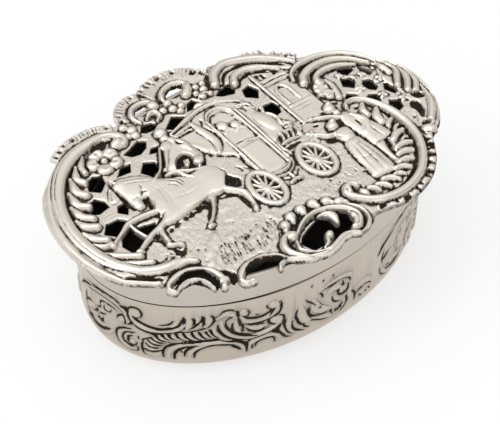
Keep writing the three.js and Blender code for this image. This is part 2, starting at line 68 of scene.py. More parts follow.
# Relief engine: heights over a flat grid, with the distance to the edge of the sheet
def smooth_line(points, closed=False, spacing=0.2):
    """Curve through the points, in steps of about the spacing."""
    p = np.array(points, float)
    if closed:
        ext = np.vstack([p[-1:], p, p[:2]])
    else:
        ext = np.vstack([2 * p[0] - p[1], p, 2 * p[-1] - p[-2]])
    out = []
    for a, b, c, d in zip(ext, ext[1:], ext[2:], ext[3:]):
        n = max(2, int(np.hypot(*(c - b)) / spacing))
        t = np.linspace(0, 1, n, endpoint=False)[:, None]
        bend = (2 * a - 5 * b + 4 * c - d) + t * (3 * (b - c) + d - a)
        out.append(b + 0.5 * t * ((c - a) + t * bend))
    if not closed:
        out.append(p[-1:])
    return np.vstack(out)


def oval(cx, cy, a, b, n=16):
    t = np.radians(np.linspace(0, 360, n, endpoint=False))
    return np.stack([cx + a * np.cos(t), cy + b * np.sin(t)], 1)


def heading(angle):
    return np.array((math.cos(angle), math.sin(angle)))


def ramp(value, start, span):
    """0 at the start, 1 a span further on. With a negative span it counts downwards."""
    return np.clip((value - start) / span, 0, 1)


def ease(t):
    t = np.clip(t, 0, 1)
    return t * t * (3 - 2 * t)


def quarter_round(t):
    """Quarter circle from 0 to 1, steep at the start."""
    return np.sqrt(1 - (1 - np.clip(t, 0, 1)) ** 2)


def taper(count, ends, run=0.3):
    """Widths along a line, full in the middle and narrowing to the shares given for its ends."""
    u = np.linspace(0, 1, count)
    first, last = ends
    return (first + (1 - first) * ease(u / run)) * (last + (1 - last) * ease((1 - u) / run))


def loop_distance(points, X, Y):
    """Signed distance to a closed polygon, negative inside."""
    best = np.full(X.shape, 1e9)
    inside = np.zeros(X.shape, bool)
    for (ax, ay), (bx, by) in zip(points, np.roll(points, -1, 0)):
        ex, ey = bx - ax, by - ay
        t = np.clip(((X - ax) * ex + (Y - ay) * ey) / (ex * ex + ey * ey + 1e-12), 0, 1)
        best = np.minimum(best, (X - ax - t * ex) ** 2 + (Y - ay - t * ey) ** 2)
        crosses = (ay > Y) != (by > Y)
        inside ^= crosses & (X < ax + (Y - ay) * ex / (ey if ey else 1e-12))
    return np.where(inside, -1, 1) * np.sqrt(best)


def blur(a, cells):
    """Three box passes, close to a Gaussian."""
    n = max(1, int(cells))
    for axis in (0, 1):
        for _ in range(3):
            pad = [(0, 0), (0, 0)]
            pad[axis] = (n + 1, n)
            c = np.cumsum(np.pad(a, pad, mode="edge"), axis)
            hi, lo = [slice(None)] * 2, [slice(None)] * 2
            hi[axis], lo[axis] = slice(2 * n + 1, None), slice(0, -2 * n - 1)
            a = (c[tuple(hi)] - c[tuple(lo)]) / (2 * n + 1)
    return a


def hollow_dark(h, rows):
    """Dark for hollows of several widths: cells blurred, depth where it starts, depth it takes, share."""
    return sum(share * ramp(blur(h, cells) - h, start, span) for cells, start, span, share in rows)


class Relief:
    def __init__(self, xs, ys, step, ground):
        self.step = step
        self.x = np.arange(xs[0], xs[1] + step / 2, step)
        self.y = np.arange(ys[0], ys[1] + step / 2, step)
        self.X, self.Y = np.meshgrid(self.x, self.y, indexing="ij")
        self.h = np.full(self.X.shape, float(ground))
        self.edge, self.hole, self.flange = (np.full(self.X.shape, NOTHING) for _ in range(3))
        # Dark painted along lines: oxide in chased lines, and painted shade where a line stands for a shadow
        self.ink_and_shade = np.zeros(self.X.shape)
        self.ground = ground
        self.torn = RAGGED_EDGE * blur(np.random.default_rng(5).normal(0, 1, self.h.shape), 3)

    def window(self, lo, hi):
        axes = ((0, self.x), (1, self.y))
        i0, j0 = (max(0, int((lo[k] - a[0]) / self.step)) for k, a in axes)
        i1, j1 = (max(0, int((hi[k] - a[0]) / self.step) + 2) for k, a in axes)
        return np.s_[i0:i1, j0:j1]

    def area(self, points, smooth, margin=MARGIN):
        """Window round a closed loop, and the signed distance to the loop there."""
        loop = smooth_line(points, True, LOOP_SPACING) if smooth else np.array(points, float)
        win = self.window(loop.min(0) - margin, loop.max(0) + margin)
        return win, loop_distance(loop, self.X[win], self.Y[win])

    def trace(self, line, reach):
        """Distance to a line, and the nearest point on it, for the grid points within reach."""
        win = self.window(line.min(0) - reach, line.max(0) + reach)
        X, Y = self.X[win], self.Y[win]
        best = np.full(X.shape, 1e6)
        at = np.zeros(X.shape, int)
        i0, j0 = win[0].start, win[1].start
        for k in range(0, len(line), 20):
            part = line[k:k + 21]
            w = self.window(part.min(0) - reach, part.max(0) + reach)
            s = np.s_[w[0].start - i0:w[0].stop - i0, w[1].start - j0:w[1].stop - j0]
            if X[s].size == 0:
                continue
            d2 = (X[s][..., None] - part[:, 0]) ** 2 + (Y[s][..., None] - part[:, 1]) ** 2
            near = d2.min(-1)
            better = near < best[s]
            at[s] = np.where(better, d2.argmin(-1) + k, at[s])
            best[s] = np.where(better, near, best[s])
        return win, np.sqrt(best), at

    def lay(self, win, value, blend, edge=None):
        """Put a shape over what is there, keeping the higher of the two."""
        old = self.h[win]
        top = np.maximum(old, value)
        if blend:
            top = top + blend / 4 * np.clip(1 - np.abs(old - value) / blend, 0, 1) ** 2
        self.h[win] = top
        self.ink_and_shade[win] = np.where(value > old, 0, self.ink_and_shade[win])
        if edge is not None:
            self.edge[win] = np.minimum(self.edge[win], edge)

    def stroke(self, points, width, height, ends=(0.5, 0.5), closed=False, solid=True, blend=0.0,
               groove=0.0, lean=0.0, base=None, run=0.3, power=0.5):
        """Rounded bar along a curve. A groove hollows its middle, lean raises its left side."""
        line = smooth_line(points, closed)
        swell = np.ones(len(line)) if closed else taper(len(line), ends, run)
        win, d, at = self.trace(line, width / 2 + 0.5)
        if d.size == 0:
            return
        half = (width / 2 * swell)[at]
        r = np.clip(d / half, 0, 1)
        value = (1 - r * r) ** power * height * (TIP_SHARE + (1 - TIP_SHARE) * swell[at])
        if groove or lean:
            way = np.gradient(line, axis=0)
            side = way[at, 0] * (self.Y[win] - line[at, 1]) - way[at, 1] * (self.X[win] - line[at, 0])
            across = r * np.sign(side)
            value = value * (1 + lean * across) - groove * np.exp(-(across / GROOVE_SPREAD) ** 2)
        base = self.ground if base is None else base
        self.lay(win, np.where(r < 1, base + value, NOTHING), blend, d - half if solid else None)

    def bump(self, centre, rx, ry, height, turn=0.0, solid=True, blend=0.0, base=None, power=0.5):
        """Oval boss."""
        reach = max(rx, ry) + 0.4
        c = np.array(centre, float)
        win = self.window(c - reach, c + reach)
        X, Y = self.X[win] - c[0], self.Y[win] - c[1]
        if X.size == 0:
            return
        k, s = heading(math.radians(turn))
        r2 = ((k * X + s * Y) / rx) ** 2 + ((k * Y - s * X) / ry) ** 2
        base = self.ground if base is None else base
        value = base + height * np.clip(1 - r2, 0, 1) ** power
        edge = (np.sqrt(r2) - 1) * min(rx, ry) if solid else None
        self.lay(win, np.where(r2 < 1, value, NOTHING), blend, edge)

    def patch(self, points, height, soft=0.5, smooth=True, base=None):
        """Raised flat area with rounded sides."""
        win, d = self.area(points, smooth)
        base = self.ground if base is None else base
        self.lay(win, np.where(d < 0, base + quarter_round(-d / soft) * height, NOTHING), 0.0, d)

    def sink(self, points, floor, soft=0.35, smooth=True):
        """Recess pressed down to a floor."""
        win, d = self.area(points, smooth)
        k = ease(0.5 - (d + self.torn[win]) / soft)
        self.h[win] = self.h[win] * (1 - k) + floor * k

    def cut(self, points, width, depth, ends=(0.4, 0.4), ink_and_shade=0.0):
        """Chased line. Its ink paints the line dark: oxide in chased lines, painted shade where the line
        stands for a shadow.
        """
        line = smooth_line(points)
        swell = taper(len(line), ends)
        win, d, at = self.trace(line, width)
        if d.size:
            mark = swell[at] * np.exp(-(d / (width / 2 * swell[at])) ** 2)
            self.h[win] -= depth * mark
            self.ink_and_shade[win] = np.maximum(self.ink_and_shade[win], ink_and_shade * mark)

    def pierce(self, points):
        """Opening sawn through the sheet."""
        win, d = self.area(points, False, 1)
        self.edge[win] = np.maximum(self.edge[win], -d)
        self.hole[win] = np.maximum(self.hole[win], -d)


def along(points, count, start=0.0, stop=1.0):
    """Points, directions and left normals spread along a curve."""
    line = smooth_line(points)
    way = np.gradient(line, axis=0)
    way /= np.hypot(way[:, 0], way[:, 1])[:, None] + 1e-9
    for u in np.linspace(start, stop, count):
        i = int(u * (len(line) - 1))
        yield line[i], way[i], np.array([-way[i, 1], way[i, 0]])


def frill(f, points, count, inner, outer, height, rng, slots, gap=0.6):
    """Pleated flange beside a curve. It climbs to its edge, where short dark slits are cut."""
    line = smooth_line(points)
    way = np.gradient(line, axis=0)
    normal = np.stack([-way[:, 1], way[:, 0]], 1) / (np.hypot(way[:, 0], way[:, 1])[:, None] + 1e-9)
    ripple = 1 + RIPPLE * np.sin(np.linspace(0, 2 * math.pi * count, len(line)))[:, None]
    rim = line + normal * outer * ripple
    win, inside = f.area(np.vstack([line - normal * inner, rim[::-1]])[::2], False)
    X, Y = f.X[win][..., None], f.Y[win][..., None]
    depth = np.sqrt(((X - rim[:, 0]) ** 2 + (Y - rim[:, 1]) ** 2).min(-1))
    climb = f.ground + height * np.clip(1 - depth / (inner + outer), 0, 1)
    flange = np.where(inside < 0, climb, NOTHING)
    f.lay(win, flange, 0.0, inside)
    f.flange[win] = np.maximum(f.flange[win], flange)
    for p, t, n in along(points, 2 * count, 0.01, 0.99):
        n = n + t * rng.uniform(-0.15, 0.15)
        if rng.random() < slots:
            start, stop = rng.uniform(0.3, 0.6), rng.uniform(0.74, 0.9)
            slit = [p + n * outer * start, p + n * outer * stop]
            f.cut(slit, gap * rng.uniform(1.0, 1.7), SLIT_DEPTH, ends=(0.5, 0.8))
        else:
            pleat = [p + n * outer * rng.uniform(-0.1, 0.5), p + n * outer * PLEAT_STOP]
            f.cut(pleat, PLEAT_WIDTH, PLEAT_DEPTH, ends=(0.3, 0.8))


# The lid's layout, millimetres in plan, x to the right and y to the back
OUTLINE = [
    (-56.3, 0), (-56.1, 5), (-55.5, 10), (-54, 15), (-51.7, 20), (-48, 25), (-43.7, 28.9), (-40.3, 31.7),
    (-36, 34.6), (-31, 36.6), (-27, 36.4), (-24, 34.6), (-20.3, 34), (-18.4, 36.6), (-16, 39.4), (-12, 40.4),
    (-8, 41.2), (-4.5, 42.8), (1, 42.8), (5.5, 41.5), (9.5, 39.3), (12, 37.8), (16, 37.7), (21, 36.1),
    (26, 35),
    (30, 32.8), (33, 29.8), (36, 26.3), (40, 24), (44, 22), (48, 18.3), (51.3, 13.5), (53.5, 10.6),
    (55.8, 6.6),
    (56.8, 2.5), (57, -2), (56.3, -8), (53.8, -14), (50, -18.8), (45.8, -21.3), (43.3, -23), (40, -26.8),
    (36.3, -30.6), (31, -33.3), (25, -35), (19, -35.2), (13.5, -34.6), (11, -36.2), (7, -37), (2, -36.8),
    (-4, -37.8), (-9.5, -37.2), (-14, -34.6), (-14.2, -31.6), (-16, -29.4), (-20, -28), (-24.6, -28.6),
    (-26.6, -30.8), (-28.6, -30.6), (-30.2, -29), (-31.8, -27), (-35.6, -22.6), (-40, -21), (-43.5, -21.3),
    (-45.5, -20.2), (-51, -14.4), (-54.6, -8),
]
HOLES = [
    [(-40.2, 17.5), (-38.8, 20.8), (-36.5, 21.6), (-34.3, 20.3), (-35, 17.5), (-38, 15.3)],
    [(-44.4, 10), (-42.8, 14), (-40.5, 14.3), (-39, 12), (-39.2, 9.6), (-42.8, 9)],
    [(-45.8, 2.3), (-43.5, 5), (-40, 4.8), (-38.4, 3), (-39.5, 1.2), (-43.8, 0)],
    [(-38.7, 6.5), (-37.5, 8.5), (-35.5, 8.7), (-35.3, 6.5), (-37, 4.4)],
    [(-31.5, 17.3), (-28.5, 20), (-25.8, 19.5), (-27.5, 16.7)],
    [(-25.3, 23.3), (-22.5, 24.3), (-19.3, 25.6), (-17.3, 24), (-19, 21.8), (-21.5, 20.7), (-24, 21.3)],
    [(-25.6, 14.8), (-22.8, 17.8), (-20.2, 16.2), (-20.5, 13.5), (-23.8, 11.8)],
    [(-19.6, 19.3), (-18, 21), (-15.5, 20.5), (-17, 18.5)],
    [(-16.8, 27.5), (-15, 29.7), (-12.3, 29.2), (-11, 27.5), (-13, 26.3), (-15.5, 26.4)],
    [(-10.6, 24.5), (-6.3, 27.8), (-3.3, 25.3), (-4.5, 24), (-8.5, 22.8)],
    [(-1.8, 26.5), (0, 29.3), (2, 29.8), (3.5, 27), (1.5, 26.4)],
    [(4.5, 25), (7, 25.2), (9.8, 23), (9, 21.6), (6.3, 22.8)],
    [(8.2, 27), (10, 28.2), (13, 28.8), (14.7, 26.5), (13, 24.6), (9.5, 25.8)],
    [(14.4, 21.5), (15.5, 24.5), (18, 25), (19.2, 22), (17, 19)],
    [(14.8, 13), (16, 15.8), (19, 15.7), (19.5, 13), (18.5, 10.8), (16.5, 10.4)],
    [(-44.6, -4), (-42.5, -0.8), (-40, 0), (-33, -2), (-33.5, -3.8), (-39.2, -5.6), (-43.5, -8)],
    [(40.8, 13.3), (42.2, 15.9), (45.3, 14.3), (45.3, 12), (42.5, 11.3)],
    [(38.4, 8.3), (39.8, 11.2), (42, 10.3), (42.7, 8), (40.5, 6)],
    [(46.2, 10), (47.2, 13), (49.3, 11.8), (50, 8.5), (47.5, 7.5)],
    [(43, 5.5), (44.5, 7.2), (46.4, 6.3), (46.2, 2.5), (44.8, 1.7), (43.5, 3)],
    [(35.5, 4.2), (37.5, 5.6), (39.6, 3.5), (38.5, 1.6)],
    [(40.2, 0.8), (42, 1.6), (43.8, 0.5), (43.3, -2), (42.4, -3.2), (40.8, -0.5)],
    [(46.8, 0.5), (48.2, 2.6), (50, 1), (50, -2), (48, -2.6)],
    [(43, -6), (45, -3.4), (47.4, -5.2), (46.5, -8), (44.5, -8.5)],
    [(-14.3, 33.8), (-12.9, 35.5), (-9.9, 35.7), (-9.2, 34), (-10.3, 32.8), (-12.4, 32.4)],
    [(-3.2, 34.2), (-2.6, 35.8), (-0.4, 36.9), (2, 36.6), (2.9, 35), (1.6, 33.6), (-0.8, 33)],
    [(-8.5, -31), (-6.5, -29), (-3, -27.5), (1, -26.3), (5, -27), (8, -29.5), (8, -33), (5, -35.2),
     (-0.5, -34.4), (-7, -34.9)],
]
LEFT_MOULDING = [
    (-25.3, 27), (-23.2, 26.6), (-22.2, 28.4), (-23.6, 30.6), (-27, 32), (-31, 32), (-36, 31), (-41, 28.3),
    (-45.5, 24), (-49.3, 18), (-51.6, 11), (-52.3, 4), (-51.8, -2), (-50.3, -7.5), (-47.5, -12),
    (-43.5, -15.8),
    (-38.5, -18), (-35, -18.5), (-33, -19.7),
]


def edge_scrolls(f, rng):
    """Scroll work round the border, clockwise from the left."""
    left_mouldings(f, rng)
    crest(f, rng)
    right_arches(f, rng)
    right_leaf(f)
    large_scroll(f, rng)
    front_cartouche(f)
    front_arches(f)


def left_mouldings(f, rng):
    frill(f, [(-40.6, 31), (-36, 33.4), (-31, 34.2), (-26.4, 33.6), (-22.6, 31.8)], 14, 0.6, 2.9, 1.0, rng,
        0.45)
    f.stroke([(-40, 29.9), (-45.6, 25.6), (-50.2, 19.4), (-52.9, 12), (-53.9, 4), (-53.4, -3), (-51.8, -8.6),
        (-49, -13)], 5.6, 0.9, ends=(0.4, 0.7))
    f.stroke([(-41, 31), (-46, 26.8), (-50.4, 20.8), (-53.7, 13.8), (-55.1, 6), (-55.2, -1), (-54.2, -7),
        (-52.3, -12.1), (-50.5, -15), (-46.4, -18.7), (-44.5, -20)], 1.8, 1.2, ends=(0.6, 0.55), groove=0.15)
    f.stroke(LEFT_MOULDING, 4.0, 1.9, ends=(0.72, 0.4))
    f.cut([p - n * 0.75 for p, _, n in along(LEFT_MOULDING, 20, 0.22, 0.85)], 0.5, 0.3)
    f.stroke([(-48.4, -11.4), (-45, -14.8), (-41, -16.8), (-37, -17.4), (-34, -18.6)], 3.0, 1.9,
        ends=(0.5, 0.5))
    f.bump((-24.4, 27.4), 2.2, 1.8, 2.2, 25)
    f.cut([(-29, 31.4), (-25.8, 30.8), (-24, 29.2), (-23, 27.6)], 0.5, 0.7)
    f.cut([(-26.4, 30), (-25.4, 28.9), (-24.9, 27.6)], 0.5, 0.5)
    f.cut([(-26.8, 29.9), (-31, 29.7), (-36, 28.3), (-41, 25.3), (-45, 20.8), (-48.3, 14.4), (-50.1, 7),
        (-50.4, 1), (-49.8, -4)], 0.7, 0.6)
    f.sink([(-26.6, 30.4), (-29, 30.6), (-33, 29.8), (-33, 28.4), (-29.6, 28.2), (-26.8, 28.8)], 0.5, 0.5)
    # Dark slot: sunk, and painted dark as shade
    slot = [(-50.3, -14.3), (-49.4, -13.7), (-46.4, -16.3), (-43.4, -18.4), (-43.6, -19.6), (-46.6, -17.9)]
    f.sink(slot, 0.32, 0.3)
    f.cut([(-49.7, -14.2), (-48, -15.7), (-45.8, -17.5), (-43.8, -18.9)], 1.2, 0.0, ends=(0.8, 0.8), ink_and_shade=2.0)
    for a, b, c, w in [((-35.3, 28), (-37.2, 25.6), (-37.6, 23.2), 1.7),
            ((-38.8, 25.8), (-40.5, 22.8), (-39.7, 20.3), 2.0),
            ((-42.3, 22.6), (-43.2, 18.8), (-41.9, 16.3), 2.3),
            ((-45.3, 18.5), (-45.6, 14.6), (-43.8, 12.5), 2.3),
            ((-47.5, 14), (-47.2, 10.6), (-45.3, 8.3), 2.3), ((-49, 9.4), (-48.4, 7), (-46, 5.1), 2.3),
            ((-49.9, 4.6), (-48.9, 2), (-46.7, -0.1), 2.3), ((-49.9, 0), (-48.6, -1.9), (-46.6, -2), 1.5),
            ((-49.7, -4), (-47.5, -6.6), (-43.2, -9.8), 2.0),
            ((-48, -9), (-45.5, -11.5), (-42.1, -13.4), 1.9)]:
        a, b = np.array(a), np.array(b)
        f.stroke([a + 0.25 * (a - b), b, c], w + 0.35, 1.6, ends=(0.5, 0.95), run=0.5)
    f.stroke([(-45.2, -13.6), (-42, -15.5), (-39, -15.7), (-37.6, -14.7)], 1.2, 1.3, ends=(0.4, 0.8))


def crest(f, rng):
    """Pleated crest with two pierced eyes and a scatter of pearls."""
    frill(f, [(-16.9, 32.5), (-16.4, 36), (-13.4, 38.1), (-9.4, 38)], 9, 1.4, 2.9, 1.0, rng, 0.4)
    frill(f, [(-7.2, 37.6), (-4.2, 39.4), (0, 40), (4, 39.2), (7, 37), (9.4, 34)], 15, 1.8, 3.6, 1.0, rng,
        0.36)
    f.stroke([(-14.8, 30.2), (-15.5, 32.4), (-15, 34.6), (-13.3, 36.3), (-10.9, 36.7), (-8.5, 35.9),
        (-7.3, 34)], 1.8, 1.3, ends=(0.6, 0.8))
    f.bump((-8.2, 33.8), 1.6, 1.9, 1.7, 25)
    f.stroke([(-12.6, 30.4), (-10.8, 31.6), (-9.2, 31.2), (-9.2, 29.2), (-10.6, 28.2)], 1.7, 1.5)
    f.stroke([(-4.9, 31.8), (-4.5, 34.8), (-2.9, 36.9), (0.2, 38), (3.2, 37.2), (4.7, 35)], 1.8, 1.3,
        ends=(0.5, 0.7))
    f.stroke([(3.6, 35.2), (3.3, 33.4), (1.4, 31.8)], 2.8, 1.8, ends=(0.6, 0.8))
    f.bump((2.1, 32.3), 2.0, 1.6, 1.7, 40)
    for x, y, r in [(-7, 30.7, 1.2), (-4.4, 29.7, 1.3), (-4.3, 32.4, 1.2), (-1.8, 29.3, 1.1),
            (4.2, 30.7, 1.0), (7, 31, 1.2), (5.6, 32.9, 1.1), (8, 33.1, 1.0), (5.2, 28.6, 1.0),
            (7.4, 28.3, 0.9), (-3.2, 27.7, 1.1), (-18.2, 29.6, 1.5), (-19.6, 31.6, 1.3), (-18.6, 27.3, 1.4),
            (-20.4, 28, 1.2)]:
        f.bump((x, y), r, r, 1.2, blend=0.1)
    f.stroke([(3.4, 28.4), (5.4, 29.7), (7.8, 28.8)], 1.0, 0.9)
    f.bump((2.2, 26), 2.1, 1.2, 1.3, -15)


def right_arches(f, rng):
    """Nested arches over the house and over the pierced corner, with rounded free ends on their left."""
    frill(f, [(11.4, 35.2), (13, 36.4), (16, 36.9)], 6, 0.8, 1.4, 0.8, rng, 0.6)
    frill(f, [(22.6, 34.7), (27, 32.4), (31.6, 28.6), (35, 25)], 9, 0.8, 2.2, 1.5, rng, 0.8, 0.95)
    f.patch([(11.2, 31), (11.2, 35), (14, 36.8), (18, 36.8), (24, 34.7), (30, 30.6), (34, 25.2), (32.8, 23),
        (31.2, 23), (28, 25.4), (24, 28), (20, 28.6), (16.4, 28), (13, 28.8)], 0.6, 0.5)
    top = GROUND + 0.6
    f.stroke([(10.4, 30.2), (12.4, 33.4), (15.4, 35.3), (18.4, 35.5), (24.2, 33.2), (29.2, 29.5), (32, 26.6),
        (33.6, 24.2)], 2.9, 1.4, base=top, ends=(0.9, 0.5), lean=-0.15)
    f.cut([(12.6, 29.2), (14.2, 31.4), (16.6, 32.7), (20.8, 32.4), (24.4, 30.7), (28, 28), (30.8, 25.2)], 1.0,
        1.2, ends=(0.8, 0.5))
    f.stroke([(15, 27.2), (16, 28.9), (18, 30.1), (20.8, 30.1), (24, 28.7), (26.8, 26.6), (28.6, 24.6)], 2.3,
        1.1, base=top, ends=(1.0, 0.4), run=0.5)
    f.bump((15, 27.4), 1.4, 1.2, 1.5, 50)
    f.cut([(13.2, 33.2), (16, 34.4), (19.4, 34.2), (24, 32.1), (28.6, 28.8), (31.8, 25.4)], 0.4, 0.3)
    f.cut([(17, 27.4), (19, 28.4), (21.4, 28.2), (24, 26.9), (26, 25.3)], 0.8, 0.7)
    f.patch([(29.6, 17), (29.8, 20), (32, 22.4), (36, 23.8), (40, 23.4), (44, 21.7), (48, 18.3), (51, 14.2),
        (52.4, 11), (51, 9.6), (49, 12.6), (46.5, 14.2), (44, 16.2), (40, 17), (36.5, 16.3), (34.5, 14.8),
        (32, 14.8)], 0.6, 0.5)
    f.stroke([(28.6, 18.2), (30.1, 20.8), (33.6, 22.4), (38.5, 22.4), (43.3, 20.6), (48, 17.2), (50.9, 12.9),
        (51.9, 10.4)], 2.0, 1.3, base=top, ends=(0.5, 0.5))
    f.stroke([(30.3, 15.6), (32, 17.9), (35.7, 19.3), (41.3, 19), (46.3, 16.2), (49.9, 11.2)], 2.5, 1.2,
        base=top, ends=(1.0, 0.5), run=0.5)
    f.bump((30.3, 15.5), 1.5, 1.3, 1.7, 40)
    f.cut([(29.8, 17.5), (31.5, 19.9), (35, 21), (40.4, 20.8), (45, 18.4), (49, 13.9)], 0.5, 0.7)
    f.cut([(32.6, 15.2), (34.2, 16.9), (37, 17.9), (41.2, 17.5), (45.7, 15), (49.2, 10.4)], 1.0, 1.2,
        ends=(0.7, 0.5))
    f.stroke([(33.7, 13.9), (35, 15.8), (38.2, 16.6), (42.6, 15.6), (46.6, 13)], 1.9, 1.0, base=top - 0.1,
        ends=(1.0, 0.4), run=0.5)
    f.bump((33.7, 13.7), 1.3, 1.2, 1.6, 40)
    f.stroke([(36, 13), (35.8, 10.6), (35.4, 8.4), (34.5, 5.4)], 2.3, 1.2, ends=(0.5, 0.9))
    f.cut([(35.2, 12), (34.9, 10), (34.4, 8)], 0.6, 0.8)


def right_leaf(f):
    """Long leaf that wraps the right end: fluted fingers that run with the edge."""
    f.patch([(52.4, 10.4), (55.6, 6.4), (56.6, 1), (56.4, -6), (54.4, -12.6), (50.6, -18), (46, -20.9),
        (43.6, -20), (45.6, -15), (48.6, -9), (49.4, -2), (49, 5)], 0.4, 0.5)
    top = GROUND + 0.3
    f.stroke([(53, 9.8), (55.6, 6), (56.5, 1), (56.3, -5), (54.8, -10.8), (51.8, -16), (48.2, -19.2),
        (45.2, -20.4)], 1.3, 1.0, base=top, ends=(0.5, 0.6))
    for a, m, b, w in [((51.4, 9.8), (51.9, 7), (52, 4.4), 2.1), ((53.6, 8.4), (54, 4.2), (50.4, -0.9), 2.1),
                       ((55.3, 5), (54.5, 0), (51.4, -4.1), 2.3), ((56, 2), (55.4, -2.6), (52.6, -5.9), 2.2),
                       ((55.4, -4.6), (53.4, -11.4), (47.6, -17.8), 2.4)]:
        f.stroke([a, m, b], w, 1.3, base=top, ends=(0.4, 0.95), run=0.5)
    f.cut([(55.5, -6), (54.9, -9.9), (52.4, -15.2), (48.6, -19.4)], 0.7, 0.9)
    f.bump((45.8, -19.2), 2.3, 1.7, 1.4, -40)
    f.sink([(51.4, -5.6), (53.2, -6.8), (53.4, -8.4), (51.4, -8)], 0.45, 0.4)
    f.sink([(48.6, -8.4), (50.6, -9), (49.6, -13), (47.6, -14.4)], 0.36, 0.4)
    f.sink([(45.4, -16), (47.4, -16.4), (47.4, -18), (45.2, -17.6)], 0.5, 0.4)


def large_scroll(f, rng):
    """Large C on the lower right, lobes inside it and a notched edge outside."""
    edge = [(44.4, -20.6), (42, -24.2), (38.6, -28.4), (34.2, -31.9), (28, -34.4), (22, -35), (16.4, -33.9)]
    f.stroke(edge, 2.2, 0.5, ends=(0.8, 0.8))
    for p, t, n in along(edge, 13, 0.03, 0.97):
        p = p + t * rng.uniform(-1.1, 1.1)
        wide, tall = rng.uniform(0.35, 1.3), rng.uniform(0.2, 1.4)
        f.sink([p - t * wide - n * 1.4, p + t * wide - n * 1.3, p + t * wide * 0.8 + n * tall,
            p - t * wide * 0.7 + n * tall], 0.4, 0.35, False)
        f.bump(p + t * 1.5 - n * rng.uniform(0, 0.6), rng.uniform(0.5, 1.2), 0.5, 0.7, rng.uniform(0, 180),
            power=1.0)
    f.stroke([(33.2, 0.7), (34, 2), (36.5, 2.1), (39, 0), (41, -4), (42.2, -9), (42, -15), (40.5, -20.5),
        (37.5, -25.5), (33, -29.8), (27.5, -32.2), (22, -32.6), (17, -31.1), (13.4, -27.8), (12, -24.8),
        (13, -23)], 2.7, 1.9, ends=(0.5, 0.9), lean=0.1)
    f.stroke([(12.6, -25), (13.4, -23.2), (14.8, -23), (15.6, -24.2)], 2.3, 2.2, ends=(0.9, 0.8))
    f.bump((15.8, -27.2), 1.1, 1.9, 1.6, 15)
    f.cut([(38.2, -1), (40, -5), (40.7, -10), (40.3, -16), (38.7, -20.8), (35.8, -25.2), (31.6, -28.8),
        (26.8, -30.8), (22, -31), (18, -29.8)], 1.2, 0.8)
    for a, b, w in [((37.5, -0.8), (36, -5), 1.8), ((39.3, -4.6), (37.2, -9.4), 2.2),
            ((40, -10.2), (37.3, -12), 1.4), ((39.8, -13), (37.6, -14.4), 0.9),
            ((39.4, -15.2), (35.2, -16.6), 1.9), ((38.6, -18.2), (36.2, -18.6), 0.9),
            ((38.2, -20.2), (33.8, -19.6), 1.7), ((36.4, -22.8), (32.4, -21.8), 1.8),
            ((34.4, -25.2), (30.6, -24.2), 1.6), ((31.8, -27.3), (28.2, -25.4), 1.6),
            ((28.9, -28.6), (26.4, -27), 1.0), ((26.4, -29), (23, -26.4), 1.6),
            ((22.8, -29.6), (20.2, -27), 1.5), ((19.6, -29), (17.8, -26.6), 1.4)]:
        a, b = np.array(a), np.array(b)
        bow = np.array([b[1] - a[1], a[0] - b[0]]) * 0.14
        f.stroke([a, (a + b) / 2 + bow, b], 1.15 * w + 0.15, 1.4, ends=(0.65, 0.9), run=0.4)


